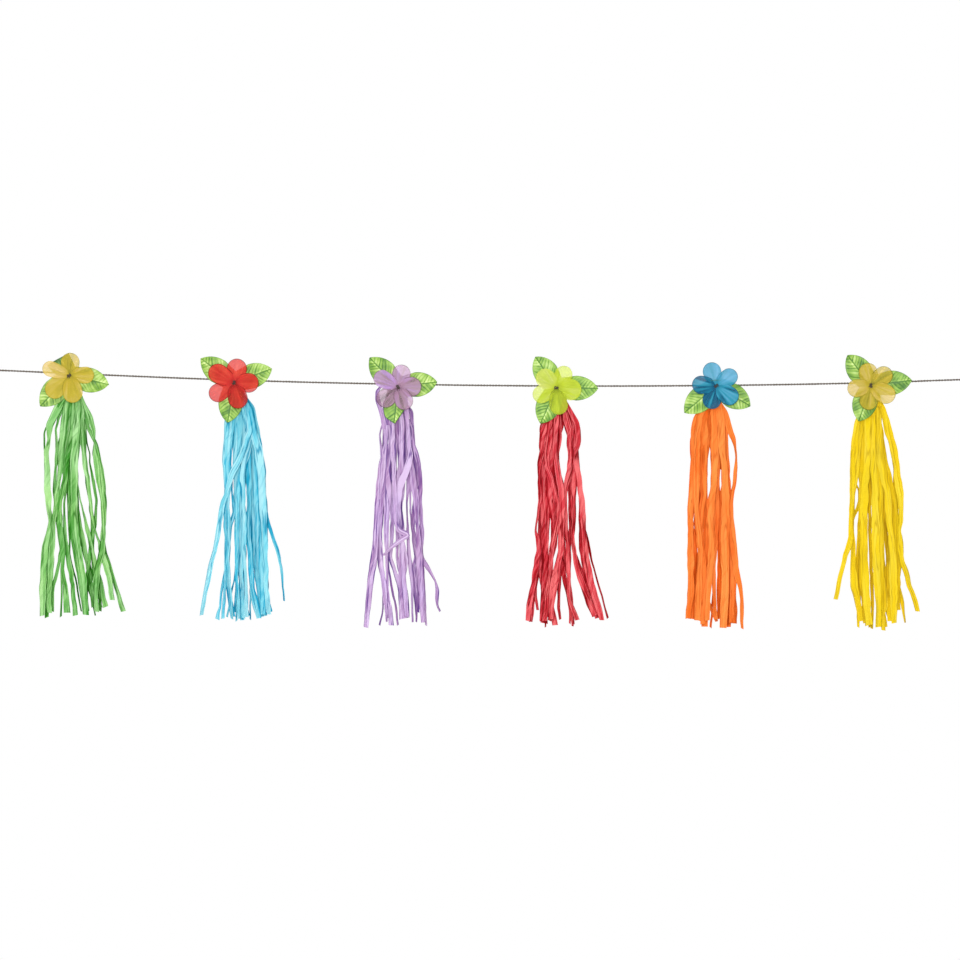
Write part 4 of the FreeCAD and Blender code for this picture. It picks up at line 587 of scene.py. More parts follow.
ORANGE = [
    (.75, (28, 4, 7), (60, 6, 7), (90, 8.6, 5.2), (105, 9.4, 5.4), (118, 10, 7), (140, 10, 7.5),
     (165, 9, 7), (215, 9, 7), (240, 8, 7.5), (266, 7, 6.5)),
    (.6, (30, -3, 6), (60, -2, 6.5), (90, -2, 5.5), (112, -3, 5.5), (140, -6, 5.5), (165, -6, 6),
     (190, -6.5, 6), (210, -8, 5), (235, -9.5, 5), (258, -10.5, 5)),
    (.65, (34, -18, 6), (55, -21, 6), (80, -22, 5.5), (100, -21.5, 6), (130, -22, 5), (160, -19.5, 5),
     (185, -18, 5), (210, -19, 6), (235, -20, 6), (258, -21, 5)),
    (.55, (30, 10, 5), (45, 14, 5.5), (58, 18.5, 5), (67, 20.8, 2.6), (80, 21.7, 2.2), (92, 22, 3),
     (102, 20.5, 3.5), (115, 18, 3.5), (130, 16, 4), (150, 16, 5), (170, 17.5, 6), (190, 19.5, 6.5),
     (208, 23, 6), (222, 26, 4), (235, 27.5, 3.4), (250, 28, 3.4), (267, 27.5, 2.5)),
    (.45, (50, -14, 7), (90, -14, 7), (120, -14.5, 5), (160, -18.5, 4), (200, -14.5, 6), (262, -15, 6)),
    (.55, (35, -22, 4), (50, -25, 4), (75, -25, 5), (100, -26, 6), (125, -28, 5.5), (150, -28.5, 5),
     (175, -28.5, 5), (200, -28, 6), (225, -28, 6), (245, -30, 6), (256, -31.5, 5.5)),
    (.5, (32, -12, 6), (50, -15, 6), (75, -17, 6), (100, -14.5, 2.5), (120, -14, 4), (150, -16, 4),
     (165, -17, 4), (180, -17, 3.5), (200, -14, 6), (230, -13, 6), (265, -13, 6.5)),
    (.4, (50, -3, 7), (90, -2, 5), (112, -2.5, 5), (130, -6.5, 6), (165, -9, 5), (200, -11, 6),
     (250, -12, 6)),
    (.5, (50, 1, 5), (110, .5, 5), (150, .5, 5), (175, -1, 5), (195, -3, 5), (215, -2.5, 3.5),
     (235, -2, 3.5), (257, 0, 4)),
    (.4, (30, -8, 5), (55, -9, 5), (80, -11.5, 5), (105, -12, 4), (125, -11, 3), (150, -10.5, 5),
     (175, -10.5, 6), (200, -10, 5), (225, -10.5, 5), (245, -13, 6), (259, -17, 6)),
    (.35, (60, 6, 8), (90, 8.6, 5), (108, 9.4, 5), (122, 8, 7), (180, 8, 8), (230, 9, 8), (262, 9, 7)),
    (.5, (60, 11, 4), (100, 13, 4), (120, 15, 4), (180, 17, 5), (210, 19, 6), (235, 18.5, 5), (261, 18, 6)),
    (.35, (55, 11, 4), (100, 12, 4), (120, 14, 4), (150, 14, 4), (180, 15, 5), (210, 16, 6), (240, 14, 7),
     (266, 13, 6)),
    (.3, (60, -24, 6), (100, -24, 6), (130, -25, 6), (150, -28, 4), (172, -24, 5), (185, -25, 7),
     (230, -26, 7), (257, -27, 7)),
    (.12, (60, 4, 4), (92, 3, 3), (108, 3.4, 2), (125, 4.6, 3), (160, 4.6, 3), (200, 3.6, 3),
     (230, 3.2, 3), (257, 3.5, 3.5)),
    (.35, (60, 9.5, 5), (90, 11, 6), (110, 13, 6), (160, 15, 6), (200, 19, 7), (240, 20, 6), (262, 20, 6)),
    (.25, (60, -23, 4), (100, -26, 4), (150, -27, 3), (172, -26, 5), (190, -24, 6), (215, -24, 6),
     (257, -27, 6)),
    (.35, (60, 8, 5), (88, 7, 5), (96, 10, 3), (110, 10, 3), (118, 8, 4), (130, 12, 5), (170, 13, 4),
     (210, 14, 5), (240, 10, 5), (262, 10, 4)),
    (.4, (60, -4, 5), (85, -3.5, 3), (112, -3.5, 3), (125, -6, 4), (170, -4, 5), (205, -9, 3),
     (235, -8, 3), (250, -3, 3), (260, 1.5, 3)),
    (.15, (60, 0, 4), (110, -2, 4), (150, -3, 4), (190, -1.5, 3), (225, -2, 2), (245, -3.4, 1.8),
     (267, -4.2, 1.7)),
    (.2, (60, -18, 5), (95, -17, 5), (122, -17, 5), (148, -21, 4), (185, -22, 4), (230, -17, 5),
     (247, -18, 4), (258, -19, 4)),
]
YELLOW = [
    (.65, (38, 1.5, 5), (60, 2, 5), (90, 2, 5.5), (120, 3, 6), (150, 4, 7), (180, 4, 7), (210, 5, 7),
     (235, 6, 5.5), (268, 5.5, 5)),
    (.6, (42, -4, 6), (60, -4, 6), (90, -5, 6), (120, -8, 6.5), (150, -9, 7), (180, -9, 7), (210, -8, 7),
     (235, -6, 6.5), (266, -4, 6.5)),
    (.6, (30, 13, 6), (50, 18, 7), (70, 23, 7), (88, 26.5, 6), (105, 29, 6), (120, 31, 6.5), (140, 32, 5),
     (152, 32, 4), (162, 30, 3), (172, 31, 4), (185, 31, 5), (197, 33, 5), (207, 37, 5), (225, 42, 4.5),
     (240, 47, 4.5), (251, 49.5, 4)),
    (.6, (30, 8, 6), (60, 8, 6), (85, 10, 7), (105, 13, 7), (120, 17, 7), (140, 18, 6), (155, 19, 5),
     (170, 22, 6), (190, 23, 6), (210, 23.5, 7), (235, 24, 7), (264, 25, 5)),
    (.55, (45, -15, 5), (65, -18, 6), (90, -20, 6), (110, -21, 5), (130, -22, 3.5), (155, -22, 4),
     (170, -23, 4), (180, -26, 4.5), (198, -31, 3.8), (215, -35, 4), (238, -39.5, 4)),
    (.5, (40, 4, 7), (80, 5, 8), (120, 7, 8), (160, 7, 8), (200, 8, 8), (240, 10, 6), (268, 9, 4)),
    (.6, (44, -11, 6), (65, -14, 6), (85, -16, 5), (105, -17, 4), (125, -20, 3), (160, -21, 4),
     (180, -20, 4.5), (205, -20, 6), (225, -19, 6), (245, -15, 5), (262, -12, 4)),
    (.5, (34, 5, 5), (60, 7, 5), (90, 8, 6), (120, 9, 7), (150, 9, 7), (180, 11, 6), (210, 11, 6),
     (230, 13, 7), (245, 14, 7), (255, 12, 3), (272, 13, 3.5)),
    (.45, (40, -9, 6), (80, -10, 6), (120, -10.5, 6), (170, -10.5, 6), (220, -10, 6), (264, -6, 5)),
    (.45, (60, 12, 3), (90, 17.5, 3), (102, 20.5, 4), (112, 22, 4.5), (130, 25, 6), (150, 27, 6),
     (165, 27, 5), (180, 27, 6), (195, 31, 4), (215, 30, 4), (235, 30, 4), (250, 30, 4)),
    (.4, (60, 11, 6), (100, 15, 6), (130, 21, 6), (160, 21.5, 5), (200, 22, 6), (240, 22, 7),
     (262, 22, 6)),
    (.4, (60, 22, 4), (110, 31, 4), (145, 32.5, 3), (160, 31.5, 1.4), (168, 33.5, 1.4), (177, 35, 1.4),
     (190, 34, 3), (205, 31.5, 3), (222, 31, 3), (235, 34, 4), (248, 36, 3), (264, 38, 1.2)),
    (.12, (60, -2, 4), (100, -2.5, 3), (150, -5, 3), (190, -4.5, 3), (225, -3.5, 3), (250, -2, 3),
     (269, -1, 2.5)),
    (.35, (60, -12, 4), (95, -14.5, 3), (108, -18, 3), (117, -13, 1.8), (130, -12.5, 2), (137, -14, 3),
     (147, -18.5, 3), (160, -21, 3), (180, -20, 4), (200, -17, 3), (225, -14, 3), (250, -13, 3),
     (269, -13, 2)),
    (.45, (50, -8, 5), (100, -9, 5), (140, -11, 4), (180, -13, 4), (200, -14, 3), (215, -13, 3),
     (235, -12, 3), (255, -12, 3)),
    (.4, (60, 4, 5), (120, 6, 6), (180, 7, 6), (225, 9, 5), (245, 9, 3), (262, 11, 2)),
    (.3, (60, 12, 4), (120, 16, 5), (170, 12, 3), (210, 16, 3), (235, 17, 5), (250, 15.5, 3),
     (269, 18.8, 1.6)),
    (.4, (60, 21, 3), (90, 27, 3), (120, 28, 5), (150, 29, 4), (180, 29, 5), (210, 29, 4), (235, 27, 4),
     (248, 29, 4)),
    (.3, (60, 10, 4), (140, 16, 4), (200, 20, 3), (238, 17, 5), (257, 19.5, 1.4)),
    (.35, (100, 0, 4), (150, 0, 3), (200, 1.5, 3), (230, 3, 3), (250, 3, 2.5), (271, 2.8, 3)),
]

# Each tassel: its strips, how far right its head hangs, how open its shoulders are, how much wider its strips
# are than their rows say, and how much shade is painted where they lie beside or behind each other.
strip_rows = dict(zip(unit_names, [GREEN, BLUE, LILAC, RED, ORANGE, YELLOW]))
head_shift = dict(zip(unit_names, [1.0, 3.0, -3.0, 3.0, -4.0, 4.0]))
shoulder_open = dict(zip(unit_names, [0.6, 0.75, 0.85, 0.72, 0.8, 0.58]))
strip_breadth = dict(zip(unit_names, [1.12, 1.11, 1.08, 1.2, 1.2, 1.2]))
contact_shade_share = dict(zip(unit_names, [0.4, 0.38, 0.36, 0.36, 0.2, 0.22]))
# Each paper: its deep, middle and pale tones, the tone of its painted shade lines, its faded tint, and how
# strong its tones with their painted light and shade and its crumples are.
papers = {
    "green": (("3C8C2C", "7CB86A", "A4D492"), "256414", "FFFFD8", 1.1, 0.25),
    "blue": (("1EA6C8", "7ACAD9", "A2D9E2"), "1488AC", "E4FCFF", 1.2, 0.25),
    "lilac": (("8E6298", "BC9BC3", "D4BCDC"), "66468A", "EAE6FF", 1.25, 0.25),
    "red": (("A8141E", "CE3D46", "E46A6C"), "84040E", "FFE0F8", 1.5, 0.45),
    "orange": (("DF6018", "EF7C34", "F48E44"), "B84808", "FFFFFF", 0.75, 0.18),
    "yellow": (("D8B61A", "E6C414", "EBCF38"), "A88410", "F8FFFF", 0.75, 0.08),
}
# Short pieces of the bundle that stick out beside its head, behind the leaves, written like the strips.
loose_folds = {
    "green": [(0.2, (18, -5, 6), (27, -10, 9), (37, -16, 8))],
    "lilac": [(0.5, (2, -18, 2), (8, -22.5, 4), (17, -22, 5.5), (27, -19, 5), (37, -16.5, 5), (50, -15, 4)),
              (0.3, (14, -8, 6), (22, -12.5, 8), (33, -12, 8), (45, -10, 6)),
              (0.15, (14, 5, 5), (24, 9, 6), (36, 10.5, 4.5), (50, 11.5, 2))],
}
loose_depth = -4.8
# How far under the twine: the skirt where strips part, the place that a strip springs from if its row starts
# late, what counts as late, and the usual hem.
skirt_drop = 18.0
spring_drop = 30.0
late_start = 45.0
hem_drop = 262.0
# A strip at its root: its width there and the share of its own way out; then the steps in depth from strip to
# strip, at the root and at the hem.
root_width = 2.6
root_share = 0.27
root_pitch = 0.42
hem_pitch = 1.9
# The folds over the twine: their number, spacing and width, the share that lies round the twine, its radius
# there, and how far their legs reach down.
fold_count = 7
fold_pitch = 2.2
fold_width = 3.4
crown_share = 0.28
crown_r = 2.3
leg_drop = 26.0
fold_points = 60
loose_points = 40
paper_thick = 0.2
strip_points = 150
strip_across = 11
# How far a strip strays: in depth, sideways, by turning, by its fold (mm), and as a share of its width.
stray_deep = 0.8
stray_side = 0.55
stray_turned = 2.6
stray_fold = 1.7
stray_width = 0.14


def course(at, values, where):
    """Straight runs through listed values, their corners rounded by a running mean of three places."""
    line = np.interp(where, at, values)
    return np.convolve(np.pad(line, 1, mode="reflect", reflect_type="odd"), np.ones(3) / 3, mode="valid")


def eased(low, high, where):
    """0 below low, 1 above high, and 3 t^2 - 2 t^3 between."""
    t = np.clip((where - low) / (high - low), 0, 1)
    return 3 * t ** 2 - 2 * t ** 3


def thickened(sheet, thick):
    """Closed rings of a sheet: its grid moved half its thickness along the normal, to the front and back."""
    normal = np.cross(np.gradient(sheet, axis=0), np.gradient(sheet, axis=1))
    size = np.linalg.norm(normal, axis=2, keepdims=True)
    normal = normal / np.maximum(size, 1e-15)
    for edge, inner in ((0, 1), (-1, -2)):
        if size[edge].min() < 1e-3 * size[inner].max():
            normal[edge] = normal[inner]
    front = sheet + normal * thick / 2
    back = sheet - normal * thick / 2
    return np.concatenate([front, back[:, ::-1]], axis=1)


def doubled(values):
    """Per-point values of a sheet repeated for its front and back."""
    return np.concatenate([values, values[:, ::-1]], axis=1)


def ribbon(path, width, twist, fold_place, fold_depth, ripple, across):
    """Sheet along a path: path + side w u / 2 + normal (fold |u - u0| + ripple cos 3 pi u), turned by twist.
    The middle column runs along the fold u0, so that it stays a crisp line."""
    along = np.gradient(path, axis=0)
    along /= np.linalg.norm(along, axis=1, keepdims=True)
    side = np.array([[1.0, 0.0, 0.0]])
    side = side - (side * along).sum(axis=1, keepdims=True) * along
    side /= np.linalg.norm(side, axis=1, keepdims=True)
    normal = np.cross(side, along)
    turned = np.cos(twist)[:, None] * side + np.sin(twist)[:, None] * normal
    raised = np.cos(twist)[:, None] * normal - np.sin(twist)[:, None] * side
    even = np.linspace(-1, 1, across)[None]
    u = even + fold_place * (1 - np.abs(even))
    lift = fold_depth[:, None] * np.abs(u - fold_place) + ripple[:, None] * np.cos(3 * np.pi * u)
    out = width[:, None] * u / 2
    return path[:, None] + turned[:, None] * out[..., None] + raised[:, None] * lift[..., None]


def kinked(count, steps, size, rng):
    """Random values at unevenly spread places, joined by straight lines with slightly rounded corners."""
    where = np.sort(rng.uniform(0, 1, steps))
    where = (where + np.linspace(0, 1, steps)) / 2
    values = rng.uniform(-size, size, steps)
    line = np.interp(np.linspace(0, 1, count), where, values)
    return np.convolve(np.pad(line, 1, mode="edge"), [0.25, 0.5, 0.25], mode="valid")


def strip_sheet(places, order, shift, opening, breadth, rng):
    """One strip's sheet, its distance down, its middle line's x, its shown width, and its painted light and
    shade:
    one side of its fold lighter and the other darker as if turned to or from the light, and narrow, edge-on
    stretches darker. It shows its width w from the front and stands t deep, so its own width is
    sqrt(w^2 + t^2) and it is turned by atan(t / w)."""
    at, x, shown = np.array(places, dtype=float).T
    shown = shown * breadth
    middle = shift * 0.5
    end_drop = at[-1]
    if at[0] > late_start:
        at = np.r_[spring_drop, at]
        x = np.r_[middle + (x[0] - middle) * opening, x]
        shown = np.r_[(root_width + shown[0]) / 2, shown]
    at = np.r_[skirt_drop - 3, at]
    x = np.r_[middle + (x[0] - middle) * root_share / opening, x]
    shown = np.r_[root_width, shown]
    drop = np.linspace(at[0], end_drop, strip_points)
    open_share = eased(skirt_drop, 50, drop)
    fan = np.clip((drop - skirt_drop) / (hem_drop - skirt_drop), 0, None) ** 0.9
    depth = order * (root_pitch + (hem_pitch - root_pitch) * fan)
    depth = depth + open_share * kinked(strip_points, 9, stray_deep, rng)
    sway = open_share * kinked(strip_points, 26, stray_side, rng)
    path = np.stack([course(at, x, drop) + sway, depth, -drop], axis=1)
    shown = course(at, shown, drop) * (1 + open_share * kinked(strip_points, 22, stray_width, rng))
    turned_depth = open_share * kinked(strip_points, 10, stray_turned, rng)
    width = np.hypot(shown, turned_depth)
    twist = np.arctan2(turned_depth, shown)
    fold = np.minimum(shown / 6, 1) * open_share * kinked(strip_points, 9, stray_fold, rng)
    fold = fold + 0.4 * (1 - open_share) * rng.choice([-1, 1])
    fold_place = kinked(strip_points, 6, 0.6, rng)
    ripple = (0.03 + 0.2 * (1 - open_share)) * rng.choice([-1, 1]) + kinked(strip_points, 14, 0.06, rng)
    sheet = ribbon(path * mm, width * mm, twist, fold_place[:, None], fold * mm, ripple * mm, strip_across)
    slant = rng.uniform(-0.9, 0.9)
    side = np.linspace(-1, 1, sheet.shape[1])[None]
    sheet[:, :, 2] += eased(end_drop - 12, end_drop, drop)[:, None] * side * slant * mm
    # Painted light and shade: each side of the fold lighter or darker, and narrow, edge-on stretches darker.
    crease = 0.13 * fold[:, None] * np.clip(5 * side, -1, 1) - 0.2 * np.clip(3.0 - shown, 0, 3)[:, None]
    return sheet, drop, path[:, 0], shown, crease


def painted_contact_shade(sheet, drop, others):
    """Painted contact shade on a strip's points that lie beside or behind other strips: the sum of
    exp(-(d / 0.7)^2), with d the distance in mm from each of the others' edges, and no more than 1.5."""
    total = np.zeros(sheet.shape[:2])
    for other_drop, other_x, other_shown in others:
        x = np.interp(drop, other_drop, other_x)[:, None]
        half = np.interp(drop, other_drop, other_shown)[:, None] / 2
        off = np.clip(np.abs(sheet[:, :, 0] / mm - x) - half, 0, None)
        total += np.exp(-(off / 0.7) ** 2) * (drop < other_drop[-1] + 2)[:, None]
    return np.clip(total, 0, 1.5)


def strip_uv(sheet, drop, offset):
    """For both faces of a strip, across from 0 to 1, past an offset of its own, and down in metres."""
    u = np.broadcast_to(np.linspace(0, 1, sheet.shape[1])[None], sheet.shape[:2])
    v = np.broadcast_to(drop[:, None] * mm, sheet.shape[:2])
    return np.stack([np.clip(doubled(u).ravel(), 0.001, 0.999) + offset, doubled(v).ravel()], axis=1)


def painted_tone(tree):
    """The tone written on each point of the mesh."""
    painted = tree.nodes.new("ShaderNodeAttribute")
    painted.attribute_name = "tone"
    return painted.outputs["Fac"]


def arithmetic(tree, operation, first, second=0.0, third=0.0, clamp=False):
    """One sum on sockets or numbers."""
    node = tree.nodes.new("ShaderNodeMath")
    node.operation = operation
    node.use_clamp = clamp
    for socket, value in zip(node.inputs, (first, second, third)):
        if isinstance(value, bpy.types.NodeSocket):
            tree.links.new(value, socket)
        else:
            socket.default_value = value
    return node.outputs[0]


def scaled(tree, value, by, plus=0.0, clamp=False):
    """value · by + plus, on sockets or numbers."""
    return arithmetic(tree, "MULTIPLY_ADD", value, by, plus, clamp)


def crepe_paper(name, tones, painted_shade_tone, tint, tone_and_shade_contrast, crumple):
    """Matte crepe paper: lengthwise grain, flat facets painted lighter or darker as if turned to or from the
    light, parted by thin lines of painted shade where a stretched pattern crosses its middle value, a soft
    crinkle across, wedges of painted shade along one cut edge at a time as if it curled back, and patches of
    short crumple marks in painted shade, made like the creases."""
    material, tree, shader = plain_material(name, 0.9)
    shader.inputs["Specular IOR Level"].default_value = 0.12
    uv, place = coordinates(tree)
    split = tree.nodes.new("ShaderNodeSeparateXYZ")
    tree.links.new(uv, split.inputs[0])
    across, down = split.outputs[0], split.outputs[1]

    # Tones: lengthwise grain, facets between creases painted lighter or darker as if turned to or from the
    # light, and the painted light and shade of dents that run obliquely down the strip.
    streak = noise_of(tree, stretched(tree, uv, (3.2, 19.0, 1.0)), 1.0)
    grain = noise_of(tree, stretched(tree, uv, (13.0, 55.0, 1.0)), 1.0, 2.0, 0.6)
    blotch = noise_of(tree, place, 45.0)
    crease = noise_of(tree, stretched(tree, uv, (2.6, 13.0, 1.0)), 1.0, 1.0, 0.4)
    off_crease = arithmetic(tree, "SUBTRACT", crease, 0.5)
    facet_shade = scaled(tree, off_crease, 30.0, 0.5, clamp=True)
    oblique = tree.nodes.new("ShaderNodeCombineXYZ")
    tree.links.new(scaled(tree, down, 95.0, arithmetic(tree, "MULTIPLY", across, 1.5)), oblique.inputs[0])
    tree.links.new(arithmetic(tree, "MULTIPLY", down, 16.0), oblique.inputs[1])
    off_crumple = arithmetic(tree, "SUBTRACT", noise_of(tree, oblique.outputs[0], 1.0, 1.0, 0.4), 0.5)
    dent_shade = scaled(tree, off_crumple, 18.0, 0.5, clamp=True)
    uneven_tone_and_shade = scaled(tree, streak, 0.5, -0.7 - 0.3 * crumple)
    for pattern, weight in ((facet_shade, 0.3), (grain, 0.35), (blotch, 0.25), (dent_shade, 0.6 * crumple)):
        uneven_tone_and_shade = scaled(tree, pattern, weight, uneven_tone_and_shade)
    tone = scaled(tree, painted_tone(tree), 0.8, 0.22)
    tone = scaled(tree, uneven_tone_and_shade, 0.8 * tone_and_shade_contrast, tone, clamp=True)
    low, mid, light = [written(t) for t in tones]
    colour = colour_ramp(tree, tone, [(0.0, written(painted_shade_tone)), (0.2, low), (0.56, mid), (1.0, light)])
    faded = scaled(tree, noise_of(tree, place, 22.0, 1.0), 1.6, -0.62, clamp=True)
    colour = mixed(tree, faded, colour, mixed(tree, 1.0, colour, written(tint), "MULTIPLY"))

    # Lines of painted shade: along one cut edge or the other, along the long creases, and in marks where the
    # paper is crumpled.
    length = noise_of(tree, stretched(tree, uv, (0.9, 27.0, 1.0)), 1.0, 1.0, 0.4)
    in_strip = arithmetic(tree, "FRACT", across)
    left = arithmetic(tree, "SUBTRACT", scaled(tree, length, 1.1, -0.61), in_strip)
    right = arithmetic(tree, "ADD", scaled(tree, length, -1.1, -0.51), in_strip)
    edge = arithmetic(tree, "MULTIPLY", arithmetic(tree, "MAXIMUM", left, right), 30.0, clamp=True)
    line = scaled(tree, arithmetic(tree, "ABSOLUTE", off_crease), -26.0, 1.0, clamp=True)
    painted_shade_share = arithmetic(tree, "MULTIPLY", arithmetic(tree, "MAXIMUM", edge, line), 0.85 * tone_and_shade_contrast)
    crumple_shade = scaled(tree, arithmetic(tree, "ABSOLUTE", off_crumple), -24.0, 1.0, clamp=True)
    crumpled = scaled(tree, noise_of(tree, place, 30.0, 1.0), 5.0, -2.1, clamp=True)
    crumple_shade = arithmetic(tree, "MULTIPLY", crumple_shade, arithmetic(tree, "MULTIPLY", crumpled, 1.3 * crumple))
    painted_shade_share = arithmetic(tree, "MAXIMUM", painted_shade_share, crumple_shade)
    colour = mixed(tree, painted_shade_share, colour, written(painted_shade_tone))
    tree.links.new(colour, shader.inputs["Base Color"])
    crinkle = noise_of(tree, stretched(tree, uv, (2.5, 300.0, 1.0)), 1.0)
    bumped(tree, shader, scaled(tree, streak, 0.6, crinkle), 0.4, 0.0004)
    return material


hangs = {}
for k, name in enumerate(unit_names):
    rng = np.random.default_rng(20 + k)
    paper = crepe_paper(name + "_crepe_paper", *papers[name])
    hang = np.array([unit_x[k], 0, unit_z[k] + 0.3]) * mm
    hangs[name] = hang
    rows = strip_rows[name]
    shift = head_shift[name]
    sheets = []
    tones = []
    uvs = []
    strips = []
    for place, row in enumerate(rows):
        order = place - (len(rows) - 1) / 2
        strips.append(strip_sheet(row[1:], order, shift, shoulder_open[name], strip_breadth[name], rng))
    lines = [strip[1:4] for strip in strips]
    for place, (sheet, drop, x, shown, crease) in enumerate(strips):
        sheets.append(thickened(sheet + hang, paper_thick * mm))
        uvs.append(strip_uv(sheet, drop, 3 * place))
        # Painted shade: each strip darker near its root, where the strips bunch under the binding.
        shade = rows[place][0] + kinked(len(drop), 10, 0.2, rng) - 0.2 * (1 - eased(skirt_drop, 45, drop))
        shade = shade[:, None] + crease
        # Painted shade beside and behind the strips in front, and on the back face behind the strips behind.
        front = shade - contact_shade_share[name] * painted_contact_shade(sheet, drop, lines[:place])
        back = shade - contact_shade_share[name] * painted_contact_shade(sheet, drop, lines[place + 1:])
        tones.append(np.clip(np.concatenate([front, back[:, ::-1]], axis=1), -0.5, 1).ravel())
    for number in range(fold_count):
        across_x = shift * 0.5 + (number - (fold_count - 1) / 2) * fold_pitch
        turn = np.linspace(-1, 1, fold_points)
        leg = np.clip((np.abs(turn) - crown_share) / (1 - crown_share), 0, 1)
        crown_angle = np.clip(turn / crown_share, -1, 1) * np.pi / 2
        waist = np.interp(leg, [0, 0.42, 0.75, 1.0], [crown_r, 3.2, 4.3, 4.6]) + 0.25 * (number % 2)
        path = np.stack([across_x * (1 + 0.15 * leg - 0.12 * np.sin(np.pi * leg)) + 0 * turn,
                         np.sin(crown_angle) * waist,
                         np.cos(crown_angle) * crown_r - leg * leg_drop], axis=1)
        flat = np.zeros(fold_points)
        sheet = ribbon(path * mm, (fold_width + flat) * mm, flat + 0.1 * (-1) ** number, 0.0,
                       (0.25 + flat) * mm, flat, 5)
        sheets.append(thickened(sheet + hang, paper_thick * mm))
        uvs.append(strip_uv(sheet, np.linspace(0, 60, fold_points), 3 * (number + 40)))
        tones.append(np.full(sheet.shape[0] * sheet.shape[1] * 2, 0.35 + 0.1 * (number % 3)))
    for fold_tone, *places in loose_folds.get(name, []):
        fold_drop, x, shown = np.array(places, dtype=float).T
        drop = np.linspace(fold_drop[0], fold_drop[-1], loose_points)
        path = np.stack([course(fold_drop, x, drop), np.full(loose_points, loose_depth), -drop], axis=1)
        sheet = ribbon(path * mm, course(fold_drop, shown, drop) * mm, kinked(loose_points, 4, 0.3, rng), 0.0,
                       kinked(loose_points, 4, 0.6, rng) * mm, np.zeros(loose_points), strip_across)
        sheets.append(thickened(sheet + hang, paper_thick * mm))
        uvs.append(strip_uv(sheet, drop, 3 * len(sheets) + 100))
        tones.append(np.full(sheet.shape[0] * sheet.shape[1] * 2, fold_tone))
    tassel = finished_piece("paper_" + name, sheets, paper, tone=tones, uvs=uvs, sharp=14)
    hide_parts("tassel_" + name)

# --- Neck bindings --------------------------------------------------------------------------------
# Undyed cotton thread wound six times round each folded bundle, under the twine. Each turn is a rounded
# rectangle, as wide and deep as the bundle's waist.
cotton, tree, shader = plain_material("cotton_thread", 0.85)
place = tree.nodes.new("ShaderNodeTexCoord").outputs["Object"]
ply_grain = noise_of(tree, stretched(tree, place, (900.0, 900.0, 2500.0)), 1.0)
tree.links.new(colour_ramp(tree, ply_grain, [(0.3, written("8C8068")), (0.7, written("B3A68C"))]),
               shader.inputs["Base Color"])
bumped(tree, shader, ply_grain, 0.4, 0.0001)
binding_turns = 6
thread_r = 0.36
waist_drop = 11.0
binding_half = (7.0, 3.75, 1.7)
coils = []
for name in unit_names:
    t = np.linspace(0, 1, 260)
    angle = 2 * np.pi * binding_turns * t
    across = np.sign(np.cos(angle)) * np.abs(np.cos(angle)) ** 0.7 * binding_half[0] + head_shift[name] * 0.5
    deep = np.sign(np.sin(angle)) * np.abs(np.sin(angle)) ** 0.7 * binding_half[1]
    fall = -waist_drop + binding_half[2] * (1 - 2 * t)
    coil = np.stack([across, deep, fall], axis=1) * mm + hangs[name]
    coils.append(tube_rings(coil, thread_r * mm, 6, np.array([[0.0, 0.0, 1.0]])))
bindings = finished_piece("neck_thread", coils, cotton)
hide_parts("neck_bindings")

# --- Leaf sprays ----------------------------------------------------------------------------------
# Three blades die cut from green satin ribbon, with a midrib and side veins pressed in by a hot tool. They
# lie behind the flower and are held by its tie.
# A row is one flower: its centre from the twine's loop, then each petal: direction (degrees), reach, radius
# of its rounded end, how much paler it is painted for the light and shade on it, and how strongly it is
# creased.
FLOWERS = [
    (-2.2, -2.5, [(84, 24.8, 10.3, -.15, .7), (1, 28.0, 9.2, 0, .9), (-76, 30.8, 10.9, 0, .5),
                  (224.5, 32.0, 10.8, 0, .4), (160.5, 29.8, 8.6, .25, .9)]),
    (-1.7, -2.9, [(77.5, 26.6, 11, .06, .4), (-1, 27.5, 10.8, 0, .5), (-75, 29.3, 10.8, -.2, .8),
                  (213.5, 30.8, 10.2, 0, .4), (149.5, 30.4, 10.7, .05, .6)]),
    (0.3, -3.1, [(74.5, 24.8, 10.1, .1, .4), (0, 26.0, 10.8, 0, .6), (-66, 27.0, 10, -.05, .7),
                 (223.5, 28.6, 10.5, -.25, .7), (152.5, 28.7, 9.7, .3, 1.4)]),
    (-1.7, -2.1, [(61, 26.0, 9.8, -.05, .3), (-8, 27.5, 11.8, 0, .5), (-83, 29.7, 10.2, -.25, .6),
                  (204, 27.7, 9.8, 0, .3), (140, 26.4, 10.8, .2, .5)]),
    (0.0, -0.6, [(107.5, 26.5, 10.1, .17, .3), (35, 26.2, 9.5, .17, .4), (-39, 28.0, 10.4, 0, 1.0),
                 (252, 26.2, 10.3, -.6, 1.1), (176.5, 27.0, 10, -.3, .9)]),
    (-0.7, -3.0, [(104, 24.9, 10.5, .05, .8), (39, 27.2, 10.3, -.15, .7), (-32, 28.9, 10.9, .1, .6),
                  (260.5, 27.4, 10.4, -.15, .9), (191.5, 26.9, 9.8, .1, .4)]),
]
